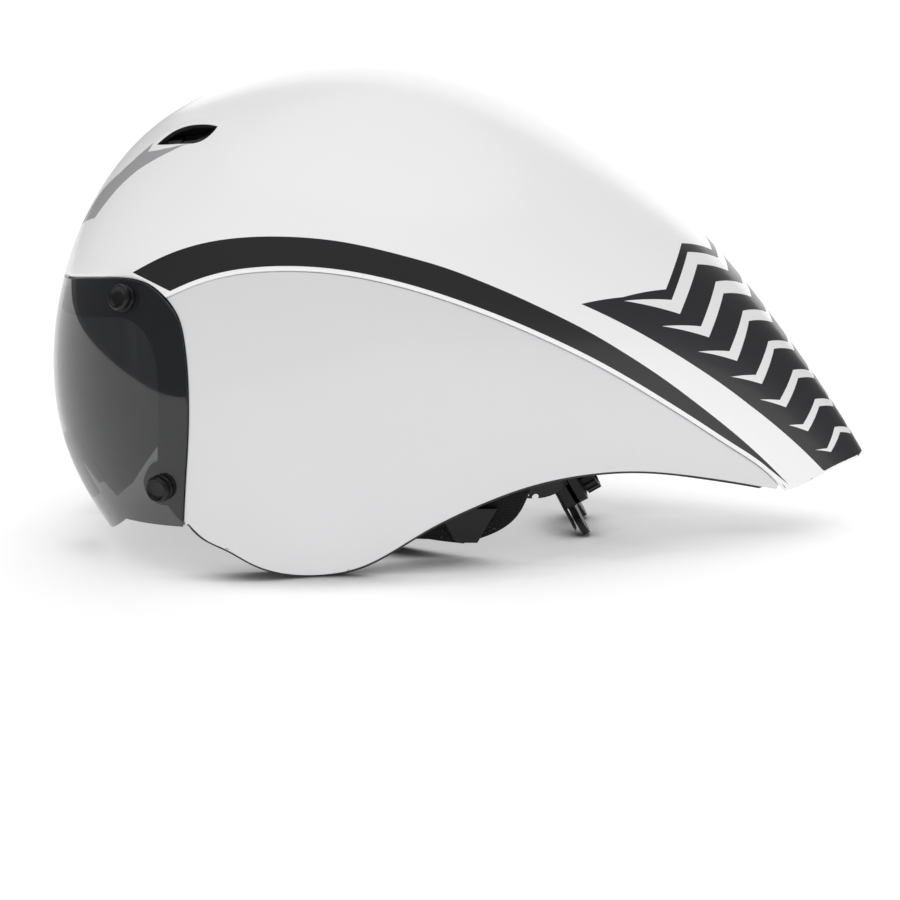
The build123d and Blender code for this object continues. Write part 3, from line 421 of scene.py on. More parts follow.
def give(node, **inputs):
    """A node's inputs get levels or links; i0, i1 and so on stand for an input's number."""
    for key, value in inputs.items():
        socket = node.inputs[int(key[1:]) if key[1:].isdigit() else key.replace("_", " ")]
        if isinstance(value, bpy.types.NodeSocket):
            node.id_data.links.new(value, socket)
        else:
            socket.default_value = value


def node_adder(tree):
    """A way to add shader nodes to a tree."""
    def add(kind, settings=None, **inputs):
        node = tree.nodes.new("ShaderNode" + kind)
        for key, value in (settings or {}).items():
            setattr(node, key, value)
        give(node, **inputs)
        return node

    return add


def finish_nodes(name):
    """A material with its shader, and a way to add nodes to it."""
    material = bpy.data.materials.new(name)
    material.use_nodes = True
    return material, material.node_tree.nodes["Principled BSDF"], node_adder(material.node_tree)


def two_tones(shader, add, share, deep, pale):
    """Colour that goes from a deep to a pale tone with share."""
    tone = add("Mix", {"data_type": "RGBA"}, i0=share, i6=(*deep, 1), i7=(*pale, 1))
    give(shader, Base_Color=tone.outputs[2])


def gloss_between(shader, add, share, low, high):
    """Roughness that goes from low to high with share."""
    gloss = add("MapRange", Value=share, To_Min=low, To_Max=high)
    give(shader, Roughness=gloss.outputs["Result"])


def bumped(shader, add, height, strength, distance):
    """Relief whose full height is distance."""
    bump = add("Bump", Height=height, Strength=strength, Distance=distance)
    give(shader, Normal=bump.outputs["Normal"])


def lacquer(name, pale, deep, roughness, peel=0.02):
    """Sprayed lacquer on thin plastic: faint orange peel, a little drift of tone and gloss."""
    material, shader, add = finish_nodes(name)
    place = add("TexCoord").outputs["Object"]
    drift = add("TexNoise", Vector=place, Scale=9.0, Detail=3.0).outputs["Fac"]
    speck = add("TexNoise", Vector=place, Scale=420.0, Detail=2.0).outputs["Fac"]
    two_tones(shader, add, drift, deep, pale)
    gloss_between(shader, add, speck, roughness * 0.85, roughness * 1.15)
    bumped(shader, add, speck, peel, 0.0004)
    give(shader, Coat_Weight=0.25, Coat_Roughness=0.12)
    return material


white_lacquer = lacquer("white_lacquer", (0.94, 0.94, 0.945), (0.915, 0.915, 0.92), 0.34)
stripe_film = lacquer("stripe_film", (0.020, 0.020, 0.022), (0.015, 0.015, 0.017), 0.42)
wedge_film = lacquer("wedge_film", (0.41, 0.41, 0.42), (0.37, 0.37, 0.38), 0.38)
zigzag_film = lacquer("zigzag_film", (0.030, 0.029, 0.032), (0.024, 0.023, 0.026), 0.36)
zigzag_white = lacquer("zigzag_white", (0.90, 0.90, 0.905), (0.87, 0.87, 0.88), 0.34)

scale = (LENGTH, HEIGHT)
notch = np.array(seam_points[0]) / 1000
brow_line = smooth_line(np.array(visor_top_shares) * scale)
seam_line = smooth_line(np.array(seam_points) / 1000)
tail_line = smooth_line(np.array(tail_end_shares) * scale)
brow_half = spaced(to_crown(brow_line[::-1]), EDGE_STEP)[::-1]
seam_half = spaced(from_side(seam_line), EDGE_STEP)
tail_half = spaced(to_crown(tail_line), EDGE_STEP)
upper_edge = both_sides(np.concatenate([brow_half, seam_half[1:], tail_half[1:]]))
leaf_upper = smooth_line(np.array(leaf_upper_shares) * scale)
leaf_lower = smooth_line(np.array(leaf_lower_shares) * scale)
leaf = np.concatenate([spaced(from_side(line), EDGE_STEP)[:-1] for line in (leaf_upper, leaf_lower)])
lip_line = form(*spaced(from_side(leaf_upper), EDGE_STEP).T)
lower_there = np.interp(leaf_upper[:, 0], leaf_lower[::-1, 0], leaf_lower[::-1, 1])
lip_rise = [leaf_upper[:, 0], (leaf_upper[:, 1] + lower_there) / 2]


def raised_lip(points):
    """The shell swells a little above each inlet's upper edge."""
    folded = points * (1, -1, 1)
    folded[:, 1] = -np.abs(points[:, 1])
    gap = np.full(len(points), 1.0)
    for spot in lip_line:
        gap = np.minimum(gap, np.linalg.norm(folded - spot, axis=1))
    above = folded[:, 2] - np.interp(folded[:, 0], *lip_rise)
    share = np.clip(above / LIP_FADE + 0.5, 0, 1)
    swell = LIP_HEIGHT * np.exp(-(gap / LIP_SPREAD)**2) * share * share * (3 - 2 * share)
    return points + unit(points - np.array([HUB_X, 0, HUB_Z])) * swell[:, None]


def straight_film(points):
    """A film with straight sides between corners in space, divided so that it follows the form."""
    corners = from_space(points)
    closed = np.concatenate([corners, corners[:1]])
    return np.concatenate([spaced(closed[i:i + 2], FILM_STEP)[:-1] for i in range(len(corners))])


def across_crown(points):
    """A film that runs over the crown line: its corners from one end on that line round to the
    other, and their mirror image."""
    corners = from_space(points)
    half = np.concatenate([corners[5:], corners[:5]])
    half[[0, -1], 1] = 0
    rows = [spaced(half[i:i + 2], FILM_STEP)[:-1] for i in range(len(half) - 1)]
    return both_sides(np.concatenate([*rows, half[-1:]]))


lift_at, lift_by = np.array(stripe_lift).T / 1000
stripe_foot = seam_line[STRIPE_FOOT_SKIP:]
stripe_foot = stripe_foot[stripe_foot[:, 0] < STRIPE_FOOT_END]
foot_lift = np.interp(stripe_foot[:, 0], lift_at, lift_by)
stripe_foot = stripe_foot + np.stack([0 * foot_lift, foot_lift], 1)
stripe_head = smooth_line(np.array(stripe_top) / 1000)
stripe = np.concatenate([spaced(from_side(stripe_head), EDGE_STEP),
                         spaced(from_side(stripe_foot), EDGE_STEP)[::-1]])
field = from_space(zigzag_field)
field_order = [*range(6, 12), *range(6)]
field_rows = [spaced(field[[i, j]], FILM_STEP)[:-1] for i, j in zip(field_order, field_order[1:])]
field = both_sides(np.concatenate([*field_rows, field[5:6]]))
white_marks = [across_crown(points) for points in zigzags]
wedge_side = straight_film(wedge)
films = [stripe, stripe * (1, -1), wedge_side, wedge_side * (1, -1), field, *white_marks]
upper_mesh = moulded_sheet("upper_shell_moulding", upper_edge, [leaf, leaf * (1, -1)], films,
                           0.0, SHELL_WALL, SHELL_EDGE_RADIUS, INLET_EDGE_RADIUS, raised_lip, 1)
finished("upper_shell_moulding", upper_mesh,
         [white_lacquer, stripe_film, stripe_film, wedge_film, wedge_film, zigzag_film]
         + [zigzag_white] * len(white_marks), "helmet", "white_shell", "upper_shell")

# Ear covers
# A second moulded sheet on each side, one step below the upper shell. An open groove parts the
# two; the foam's black edge shows as a fine line under the rolled lower edge.
SIDE_STEP = 0.0008
SEAM_GAP = 0.0003
EDGE_SHOW = 0.001
SIDE_EDGE_RADIUS = 0.0010
visor_rear_shares = [
    (-0.3389, 0.5655), (-0.3250, 0.535), (-0.3167, 0.488), (-0.3120, 0.400),
    (-0.3130, 0.292), (-0.3167, 0.211), (-0.3211, 0.112)]
lower_edge_shares = [
    (-0.3150, 0.1134), (-0.2953, 0.0833), (-0.2720, 0.065), (-0.2440, 0.036),
    (-0.2100, 0.0110), (-0.1697, 0.000), (-0.1290, 0.0090), (-0.0942, 0.034),
    (-0.0356, 0.0986), (0.0222, 0.147), (0.0800, 0.177), (0.1400, 0.1875),
    (0.2130, 0.179), (0.2870, 0.151), (0.3370, 0.129), (0.3620, 0.1175), (0.3840, 0.1080)]
# The ear covers are the same white as the upper shell; their lacquer is a darker grey here as painted shade,
# for the dimmer light on the sides.
cover_lacquer_painted_shade = lacquer("cover_lacquer_painted_shade", (0.745, 0.745, 0.755), (0.72, 0.72, 0.73), 0.36)
cover_corner = notch + (SEAM_GAP, -SEAM_GAP)
groove_top = smooth_line([cover_corner, *(np.array(seam_points[1:-1]) / 1000 - (0, SEAM_GAP))])
hem = smooth_line(np.array(lower_edge_shares) * scale + (0, EDGE_SHOW))
cover_back = smooth_line([cover_corner, *(np.array(visor_rear_shares[1:]) * scale)])
cover_lines = [groove_top, smooth_line([groove_top[-1], hem[-1]]), hem[::-1],
               smooth_line([hem[0], cover_back[-1]]), cover_back[::-1]]
cover_edge = np.concatenate([spaced(from_side(line, SIDE_STEP), EDGE_STEP, SIDE_STEP)[:-1]
                             for line in cover_lines])
for side_name, side in (("left", 1), ("right", -1)):
    cover_mesh = moulded_sheet(f"{side_name}_cover_moulding", cover_edge * (1, side), [], [], SIDE_STEP,
                               SHELL_WALL - SIDE_STEP, SIDE_EDGE_RADIUS, 0)
    finished(f"{side_name}_cover_moulding", cover_mesh, [cover_lacquer_painted_shade], "helmet", "side_shell",
             f"{side_name}_side_shell")

# Visor lens
# One sheet of smoke polycarbonate, thermoformed to lie flush with the shells, with polished
# edges and a notch for the nose.
VISOR_WALL = 0.002
VISOR_GAP = 0.0004
LENS_EDGE_RADIUS = 0.0006
NOSE_RADIUS = 0.008
NOSE_SLOPE = math.radians(20)
NOSE_TOP = 0.21 * HEIGHT
NOSE_FOOT = 0.003
ARC_POINTS, LEG_POINTS = 24, 16
FRONT_TURNS = 1.9, 2.75
visor_foot_shares = [(-0.3944, 0.103), (-0.4222, 0.045), (-0.5278, 0.030)]


def from_front(points):
    """Sheet places of front-view points (across, height) near the crown line, in front."""
    across, height = np.abs(points[:, 0]), points[:, 1]
    low_turn, high_turn = (np.full(len(points), turn) for turn in FRONT_TURNS)
    for _ in range(40):
        turn = (low_turn + high_turn) / 2
        low, high = np.zeros(len(points)), np.ones(len(points))
        for _ in range(40):
            over = (low + high) / 2
            narrow = -form(turn, over)[:, 1] < across
            low, high = np.where(narrow, over, low), np.where(narrow, high, over)
        too_high = form(turn, over)[:, 2] > height
        low_turn, high_turn = np.where(too_high, turn, low_turn), np.where(too_high, high_turn, turn)
    return np.stack([turn, over * -np.sign(points[:, 0])], 1)


def nose_line(radius_inset, foot):
    """Front view of the nose notch, from its left foot over the top to its right foot."""
    radius = NOSE_RADIUS - radius_inset
    centre = NOSE_TOP - NOSE_RADIUS
    side = (radius * math.cos(NOSE_SLOPE), centre + radius * math.sin(NOSE_SLOPE))
    spread = side[0] + (side[1] - foot) * math.tan(NOSE_SLOPE)
    angles = np.linspace(math.pi - NOSE_SLOPE, NOSE_SLOPE, ARC_POINTS)
    arc = np.stack([radius * np.cos(angles), centre + radius * np.sin(angles)], 1)
    legs = np.linspace((-spread, foot), (-side[0], side[1]), LEG_POINTS)[:-1]
    return np.concatenate([legs, arc, (legs * (-1, 1))[::-1]])


smoke, shader, add = finish_nodes("smoke_polycarbonate")
place = add("TexCoord").outputs["Object"]
haze = add("TexNoise", Vector=place, Scale=14.0, Detail=2.0).outputs["Fac"]
wipe = add("TexNoise", Vector=place, Scale=120.0, Detail=3.0).outputs["Fac"]
two_tones(shader, add, haze, (0.017, 0.018, 0.020), (0.022, 0.023, 0.025))
gloss_between(shader, add, wipe, 0.03, 0.06)
give(shader, IOR=1.50, Coat_Weight=0.5, Coat_Roughness=0.03, Alpha=0.71)

lens_corner = notch - VISOR_GAP
lens_brow = smooth_line([*(np.array(visor_top_shares[:-1]) * scale - (0, VISOR_GAP)), lens_corner])
lens_back = smooth_line([lens_corner, *(np.array(visor_rear_shares[1:]) * scale - (VISOR_GAP, 0))])
lens_foot = np.array(visor_foot_shares) * scale
lens_lines = [
    to_crown(lens_brow[::-1]), from_side(lens_back), from_side(smooth_line([lens_back[-1], lens_foot[0]])),
    from_side(smooth_line(lens_foot[:2])), to_crown(smooth_line(lens_foot[1:]))]
lens_rows = [spaced(line, EDGE_STEP) for line in lens_lines]
lens_half = np.concatenate([lens_rows[0][::-1], *(row[1:] for row in lens_rows[1:])])
nose_notch = spaced(from_front(nose_line(0, NOSE_FOOT)), EDGE_STEP)
lens_mesh = moulded_sheet("lens_moulding", both_sides(lens_half), [nose_notch], [], 0.0, VISOR_WALL,
                          LENS_EDGE_RADIUS, LENS_EDGE_RADIUS)
finished("lens_moulding", lens_mesh, [smoke], "visor", "smoke_lens", "lens")

# Visor frame
# The black seat behind the lens, moulded in matt plastic and fixed inside the shell's front.
# It carries the magnets that hold the visor.


def moulded_plastic(name, pale, deep, roughness, grain=900.0, depth=0.18):
    """Matt moulded plastic: fine spark-eroded grain, and faint flow marks in tone and gloss."""
    material, shader, add = finish_nodes(name)
    place = add("TexCoord").outputs["Object"]
    flow = add("TexNoise", Vector=place, Scale=35.0, Detail=4.0).outputs["Fac"]
    fine = add("TexNoise", Vector=place, Scale=grain, Detail=2.0).outputs["Fac"]
    two_tones(shader, add, flow, deep, pale)
    gloss_between(shader, add, flow, roughness * 0.8, roughness * 1.2)
    bumped(shader, add, fine, depth, 0.0003)
    give(shader, Specular_IOR_Level=0.3)
    return material


def dress(material, *names):
    """CAD nodes whose shape is right keep it and take the finish."""
    for name in names:
        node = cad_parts[name]
        node.data.materials.clear()
        node.data.materials.append(material)


frame_plastic = moulded_plastic("frame_plastic", (0.018, 0.018, 0.020), (0.012, 0.012, 0.013), 0.5)
dress(frame_plastic, "visor_frame")

# Magnet buttons
# Four round grips, turned in black plastic, each with a magnet in its stem that meets a
# nickel-plated magnet in the frame.
BUTTON_RADIUS = 0.00575
BUTTON_HEIGHT = 0.006
GRIP_FLATS, GRIP_FROM = 8, 0.9
button_shares = {"upper": (-0.3881, 0.5545), "lower": (-0.3447, 0.1909)}
# The grip's outline from its face to its foot: shares of the radius and of the height
button_profile = [
    (0.0, 0.62), (0.40, 0.62), (0.60, 0.64), (0.68, 0.72), (0.74, 0.79), (0.80, 0.81), (0.84, 0.80),
    (0.95, 0.68), (0.985, 0.60), (0.985, 0.46), (0.96, 0.40), (0.93, 0.36), (0.93, 0.22), (0.96, 0.17),
    (1.0, 0.12), (1.0, 0.03), (0.97, 0.0), (0.50, -0.02), (0.50, -0.30), (0.0, -0.30)]


def turned(name, profile, centre, axis, radius, height, around=56, grip=0.0):
    """A part turned about an axis; grip waves its rim into shallow finger flats."""
    axis = Vector(axis).normalized()
    first = axis.orthogonal().normalized()
    second = axis.cross(first)
    shape = bmesh.new()
    rings = []
    for across, up in profile:
        if across == 0:
            rings.append([shape.verts.new(Vector(centre) + axis * up * height)])
            continue
        ring = []
        for k in range(around):
            angle = 2 * math.pi * k / around
            flats = 1 - grip * (0.5 - 0.5 * math.cos(angle * GRIP_FLATS)) * (across > GRIP_FROM)
            way = first * math.cos(angle) + second * math.sin(angle)
            ring.append(shape.verts.new(Vector(centre) + axis * up * height + way * across * radius * flats))
        rings.append(ring)
    for upper, lower in zip(rings, rings[1:]):
        for k in range(around):
            n = (k + 1) % around
            corners = [ring[i % len(ring)] for ring, i in ((upper, k), (lower, k), (lower, n), (upper, n))]
            unique = list(dict.fromkeys(corners))
            if len(unique) > 2:
                shape.faces.new(unique)
    bmesh.ops.recalc_face_normals(shape, faces=shape.faces[:])
    mesh = bpy.data.meshes.new(name)
    shape.to_mesh(mesh)
    shape.free()
    mesh.polygons.foreach_set("use_smooth", [True] * len(mesh.polygons))
    return mesh


button_plastic = moulded_plastic("button_plastic", (0.012, 0.012, 0.013), (0.008, 0.008, 0.009), 0.34,
                                 depth=0.08)
for level, shares in button_shares.items():
    spot = from_side(np.array([shares]) * scale).T
    seat, way = form(*spot)[0], facing(form, *spot)[0]
    for side_name, flip in (("left", 1), ("right", -1)):
        name = f"button_{side_name}_{level}"
        mesh = turned(name + "_grip", button_profile, seat * (1, flip, 1), way * (1, flip, 1),
                      BUTTON_RADIUS, BUTTON_HEIGHT, grip=0.035)
        finished(name + "_grip", mesh, [button_plastic], "visor", "black_plastic", name)

nickel, shader, add = finish_nodes("nickel_plate")
place = add("TexCoord").outputs["Object"]
tumbled = add("TexNoise", Vector=place, Scale=600.0, Detail=2.0).outputs["Fac"]
gloss_between(shader, add, tumbled, 0.18, 0.34)
give(shader, Base_Color=(0.62, 0.61, 0.58, 1), Metallic=1.0)
dress(nickel, "frame_magnets", "button_magnets")

# Nose strip
# A channel of soft black rubber, extruded and pushed over the edge of the nose notch, so that
# the lens doesn't cut the nose.
rubber = moulded_plastic("soft_rubber", (0.024, 0.024, 0.025), (0.016, 0.016, 0.017), 0.62,
                         grain=500.0, depth=0.1)
STRIP_STEP = 0.0008
STRIP_WIDTH = 0.0024
STRIP_PROUD = 0.001
STRIP_GAP = 0.0002
STRIP_FOOT = 0.085 * HEIGHT


def swept_strip(name, path, ways, ups, half_wide, half_deep):
    """A rounded bar along a path: ways point across it, ups through it; its ends are domed."""
    corner = [(1.0, 0.55), (0.93, 0.85), (0.70, 1.0), (0.25, 1.0)]
    section = np.array(corner + [(-x, y) for x, y in corner[::-1]] + [(-x, -y) for x, y in corner]
                       + [(x, -y) for x, y in corner[::-1]])
    size = len(section)
    run = unit(np.gradient(path, axis=0))
    dome = [(0.35, -0.9), (0.75, -0.6), (0.95, -0.25)]
    rings = [(0, share, back) for share, back in dome]
    rings += [(i, 1.0, 0.0) for i in range(len(path))]
    rings += [(len(path) - 1, share, -back) for share, back in dome[::-1]]
    vertices = np.concatenate([
        path[i] + run[i] * back * half_wide + ways[i] * section[:, :1] * half_wide * share
        + ups[i] * section[:, 1:] * half_deep * share for i, share, back in rings])
    faces = [(i * size + k, i * size + (k + 1) % size, (i + 1) * size + (k + 1) % size, (i + 1) * size + k)
             for i in range(len(rings) - 1) for k in range(size)]
    faces += [tuple(range(size))[::-1], tuple((len(rings) - 1) * size + k for k in range(size))]
    mesh = bpy.data.meshes.new(name)
    mesh.from_pydata(vertices.tolist(), [], faces)
    shape = bmesh.new()
    shape.from_mesh(mesh)
    bmesh.ops.recalc_face_normals(shape, faces=shape.faces[:])
    shape.to_mesh(mesh)
    shape.free()
    mesh.polygons.foreach_set("use_smooth", [True] * len(mesh.polygons))
    return mesh


strip_places = spaced(from_front(nose_line(STRIP_GAP + STRIP_WIDTH / 2, STRIP_FOOT)), STRIP_STEP).T
strip_ups = unit(facing(form, *strip_places))
strip_path = form(*strip_places) - strip_ups * VISOR_WALL / 2
strip_ways = unit(np.cross(np.gradient(strip_path, axis=0), strip_ups))
finished("nose_strip_channel", swept_strip("nose_strip_channel", strip_path, strip_ways, strip_ups,
                                           STRIP_WIDTH / 2, VISOR_WALL / 2 + STRIP_PROUD),
         [rubber], "visor", "nose_rubber", "nose_strip")

# Liner
# Five blocks of black bead foam, steam-moulded and glued into the shells around the head. The
# fused beads show as a fine pebbled skin.
foam, shader, add = finish_nodes("bead_foam")
place = add("TexCoord").outputs["Object"]
beads = add("TexVoronoi", {"feature": "DISTANCE_TO_EDGE"}, Vector=place, Scale=330.0)
cells = add("TexVoronoi", Vector=place, Scale=330.0)
two_tones(shader, add, cells.outputs["Distance"], (0.020, 0.020, 0.021), (0.040, 0.040, 0.042))
swell = add("MapRange", Value=beads.outputs["Distance"], From_Max=0.25)
bumped(shader, add, swell.outputs["Result"], 0.35, 0.0005)
give(shader, Roughness=0.78)
dress(foam, "brow_liner", "crown_liner", "left_cheek_liner", "right_cheek_liner", "tail_liner")

# Comfort pads
# Brushed knit over soft foam, welded round the edge. Hook patches hold them in the liner and
# the cradle.
PAD_VOXEL = 0.0014
PAD_SHRINK = 0.0007
PAD_SWELL_CAP = 0.0011
PAD_PRESSURE = 3.0
PAD_FRAMES = 10
knit, shader, add = finish_nodes("brushed_knit")
place = add("TexCoord").outputs["Object"]
loops = add("TexVoronoi", Vector=place, Scale=900.0).outputs["Distance"]
fuzz = add("TexNoise", Vector=place, Scale=260.0, Detail=4.0).outputs["Fac"]
two_tones(shader, add, fuzz, (0.022, 0.022, 0.024), (0.050, 0.050, 0.054))
bumped(shader, add, loops, 0.5, 0.0004)
give(shader, Roughness=0.92, Sheen_Weight=0.35, Sheen_Roughness=0.5)


def soft_pad(name, node_name, body):
    """The pad's room from the CAD, filled by a swollen knit cover."""
    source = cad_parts[node_name]
    pad = bpy.data.objects.new(name, source.data.copy())
    bpy.context.scene.collection.objects.link(pad)
    shape = bmesh.new()
    shape.from_mesh(pad.data)
    bmesh.ops.remove_doubles(shape, verts=shape.verts[:], dist=1e-6)
    shape.to_mesh(pad.data)
    shape.free()
    pad.data.materials.clear()

    def applied():
        graph = bpy.context.evaluated_depsgraph_get()
        mesh = bpy.data.meshes.new_from_object(pad.evaluated_get(graph))
        pad.modifiers.clear()
        pad.data = mesh

    remesh = pad.modifiers.new("remesh", "REMESH")
    remesh.mode = "VOXEL"
    remesh.voxel_size = PAD_VOXEL
    smooth = pad.modifiers.new("smooth", "SMOOTH")
    smooth.factor = 0.5
    smooth.iterations = 6
    applied()
    count = len(pad.data.vertices)
    rest = np.zeros(count * 3)
    pad.data.vertices.foreach_get("co", rest)
    rest = rest.reshape(-1, 3)
    away = np.array([tuple(spot.normal) for spot in pad.data.vertices])
    rest = rest - away * PAD_SHRINK
    pad.data.vertices.foreach_set("co", rest.ravel())
    pad.data.update()
    cloth = pad.modifiers.new("cloth", "CLOTH")
    cloth.settings.use_pressure = True
    cloth.settings.uniform_pressure_force = PAD_PRESSURE
    cloth.settings.effector_weights.gravity = 0
    cloth.settings.quality = 4
    cloth.collision_settings.use_collision = False
    scene = bpy.context.scene
    for step in range(PAD_FRAMES):
        scene.frame_set(step + 1)
    graph = bpy.context.evaluated_depsgraph_get()
    swollen = np.array([tuple(spot.co) for spot in pad.evaluated_get(graph).data.vertices])
    pad.modifiers.clear()
    scene.frame_set(1)
    moved = swollen - rest
    reach = np.linalg.norm(moved, axis=1)
    moved *= np.minimum(1, PAD_SWELL_CAP / np.maximum(reach, 1e-9))[:, None]
    pad.data.vertices.foreach_set("co", (rest + moved).ravel())
    pad.data.update()
    finer = pad.modifiers.new("finer", "SUBSURF")
    finer.levels = finer.render_levels = 1
    applied()
    pad.data.polygons.foreach_set("use_smooth", [True] * len(pad.data.polygons))
    pad.data.materials.append(knit)
    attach(pad, body)
    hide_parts(node_name)


for node_name, body in (("brow_pad", "helmet"), ("crown_pad", "helmet"), ("left_side_pad", "helmet"),
                        ("right_side_pad", "helmet"), ("nape_pad", "fit_cradle")):
    soft_pad(node_name + "_knit", node_name, body)

# Webbing
# Flat woven polyester: a front and a rear strap on each side meet at the divider, and the chin
# strap runs on to the buckle.
STRAP_WIDTH = 0.015
STRAP_THICKNESS = 0.0015
STRAP_NARROW = 0.85 * STRAP_WIDTH
STRAP_FOLD = 0.0024
WEB_STEP = 0.0012
YARN_ALONG, YARN_ACROSS = 0.0016, 0.0022
BUCKLE_X = -0.115 * LENGTH
SOCKET_Y, SOCKET_Z = -0.0133, 0.004
TONGUE_Y, TONGUE_Z = -0.0136, 0.00905
DIVIDER = (0.0075 * LENGTH, -0.275 * WIDTH, 0.062 * HEIGHT)
# Each strap's stations: its place in shares of length, width and height, and where its width points
front_strap_shares = [
    (-0.245, 0.3690, 0.300, (1, 0, 0.3)), (-0.200, 0.3680, 0.230, (1, 0, 0.5)),
    (-0.115, 0.3350, 0.140, (0.6, 0, 1)), (-0.050, 0.2875, 0.085, (0.4, 0, 1))]
rear_strap_shares = [
    (0.085, 0.2850, 0.240, (1, 0, -0.3)), (0.066, 0.3060, 0.180, (1, 0, -0.5)),
    (0.046, 0.2790, 0.104, (0.8, 0, -0.8))]
# The chin strap's: place along and across, walls it stands off, share of the divider's rise, aim
chin_strap_shares = [
    (-0.035, -0.235, 1.0, 0.667, (-0.2, -0.4, 0.85)), (-0.075, -0.205, 2.0, 0.0, (-0.48, -0.86, 0.45)),
    (-0.103, -0.165, 0.5, 0.0, (-0.8, -0.5, 0.1))]

webbing, shader, add = finish_nodes("webbing")
strap_uv = add("SeparateXYZ", Vector=add("UVMap", {"uv_map": "weave"}).outputs["UV"])
waves = []
for direction, yarn_pitch in (("X", YARN_ALONG), ("Y", YARN_ACROSS)):
    wave = add("Math", {"operation": "MULTIPLY"}, i0=strap_uv.outputs[direction], i1=2 * math.pi / yarn_pitch)
    waves.append(add("Math", {"operation": "SINE"}, i0=wave.outputs[0]).outputs[0])
crossing = add("Math", {"operation": "MULTIPLY"}, i0=waves[0], i1=waves[1])
yarn = add("MapRange", Value=crossing.outputs[0], From_Min=-1.0).outputs["Result"]
two_tones(shader, add, yarn, (0.006, 0.006, 0.007), (0.016, 0.016, 0.018))
bumped(shader, add, yarn, 0.6, 0.0003)
give(shader, Roughness=0.7, Specular_IOR_Level=0.15)

thread, shader, add = finish_nodes("polyester_thread")
place = add("TexCoord").outputs["Object"]
twist = add("TexWave", {"bands_direction": "DIAGONAL"}, Vector=place, Scale=900.0,
            Distortion=1.5).outputs["Fac"]
two_tones(shader, add, twist, (0.030, 0.030, 0.032), (0.060, 0.060, 0.064))
bumped(shader, add, twist, 0.4, 0.0002)
give(shader, Roughness=0.55, Specular_IOR_Level=0.3)

STITCH_PITCH = 0.0021
STITCH_LENGTH = 0.0016
STITCH_THICKNESS = 0.00045
BOX_START, BOX_END, BOX_SHARE, BOX_POINTS = 0.0020, 0.0100, 0.72, 12
stitch_row = bpy.data.node_groups.new("stitch_row", "GeometryNodeTree")
stitch_row.interface.new_socket("Geometry", in_out="INPUT", socket_type="NodeSocketGeometry")
for label, value in (("Pitch", STITCH_PITCH), ("Length", STITCH_LENGTH), ("Thickness", STITCH_THICKNESS)):
    socket = stitch_row.interface.new_socket(label, in_out="INPUT", socket_type="NodeSocketFloat")
    socket.default_value = value
stitch_row.interface.new_socket("Thread", in_out="INPUT", socket_type="NodeSocketMaterial")
stitch_row.interface.new_socket("Geometry", in_out="OUTPUT", socket_type="NodeSocketGeometry")


def stitch_node(kind, **links_in):
    """A node of the stitch tree; a link is given as (node, output)."""
    node = stitch_row.nodes.new(kind)
    for key, (source, output) in links_in.items():
        stitch_row.links.new(source.outputs[output], node.inputs[key.replace("_", " ")])
    return node


given = stitch_row.nodes.new("NodeGroupInput")
curve = stitch_node("GeometryNodeMeshToCurve", Mesh=(given, "Geometry"))
spots = stitch_node("GeometryNodeCurveToPoints", Curve=(curve, "Curve"))
spots.mode = "LENGTH"
stitch_row.links.new(given.outputs["Pitch"], spots.inputs["Length"])
turned_to = stitch_node("FunctionNodeAlignRotationToVector", Vector=(spots, "Tangent"))
turned_to.axis = "X"
size = stitch_node("ShaderNodeCombineXYZ", X=(given, "Length"), Y=(given, "Thickness"),
                   Z=(given, "Thickness"))
bead = stitch_row.nodes.new("GeometryNodeMeshUVSphere")
give(bead, Segments=8, Rings=5, Radius=0.5)
copies = stitch_node("GeometryNodeInstanceOnPoints", Points=(spots, "Points"), Instance=(bead, "Mesh"),
                     Rotation=(turned_to, "Rotation"), Scale=(size, "Vector"))
real = stitch_node("GeometryNodeRealizeInstances", Geometry=(copies, "Instances"))
coloured = stitch_node("GeometryNodeSetMaterial", Geometry=(real, "Geometry"), Material=(given, "Thread"))
stitch_node("NodeGroupOutput", Geometry=(coloured, "Geometry"))


def stitches(lines):
    """A plain mesh of stitches along lines of points."""
    corners = np.concatenate(lines)
    starts = np.cumsum([0] + [len(line) for line in lines])
    edges = [(int(start) + k, int(start) + k + 1)
             for start, line in zip(starts, lines) for k in range(len(line) - 1)]
    path_mesh = bpy.data.meshes.new("stitch_path")
    path_mesh.from_pydata(corners.tolist(), edges, [])
    carrier = bpy.data.objects.new("stitch_path", path_mesh)
    bpy.context.scene.collection.objects.link(carrier)
    rows = carrier.modifiers.new("stitches", "NODES")
    rows.node_group = stitch_row
    for item in stitch_row.interface.items_tree:
        if item.in_out == "INPUT" and item.name == "Thread":
            rows[item.identifier] = thread
    graph = bpy.context.evaluated_depsgraph_get()
    mesh = bpy.data.meshes.new_from_object(carrier.evaluated_get(graph))
    carrier.modifiers.clear()
    bpy.data.objects.remove(carrier)
    return mesh


def box_stitch(at, path, across, up, wide):
    """Lines of a crossed box near each end of a band, on both its faces."""
    lines = []
    for start, stop in ((BOX_START, BOX_END), (at[-1] - BOX_END, at[-1] - BOX_START)):
        for face in (1, -1):
            for run_from, run_to, side_from, side_to in (
                    (start, stop, -1, -1), (start, stop, 1, 1), (start, stop, -1, 1),
                    (start, stop, 1, -1), (start, start, -1, 1), (stop, stop, -1, 1)):
                run = np.linspace(run_from, run_to, BOX_POINTS)
                side = np.linspace(side_from * BOX_SHARE, side_to * BOX_SHARE, BOX_POINTS)[:, None]
                centre, over, out = (np.stack([np.interp(run, at, rows[:, k]) for k in range(3)], 1)
                                     for rows in (path, across, up))
                half_wide = np.interp(run, at, wide)[:, None] / 2
                lines.append(centre + over * side * half_wide + out * face * STRAP_THICKNESS * 0.5)
    return lines


def band_rows(shares):
    """Stations of a strap on the left, from its shares."""
    return [((x * LENGTH, -y * WIDTH, z * HEIGHT), aim, STRAP_WIDTH) for x, y, z, aim in shares]


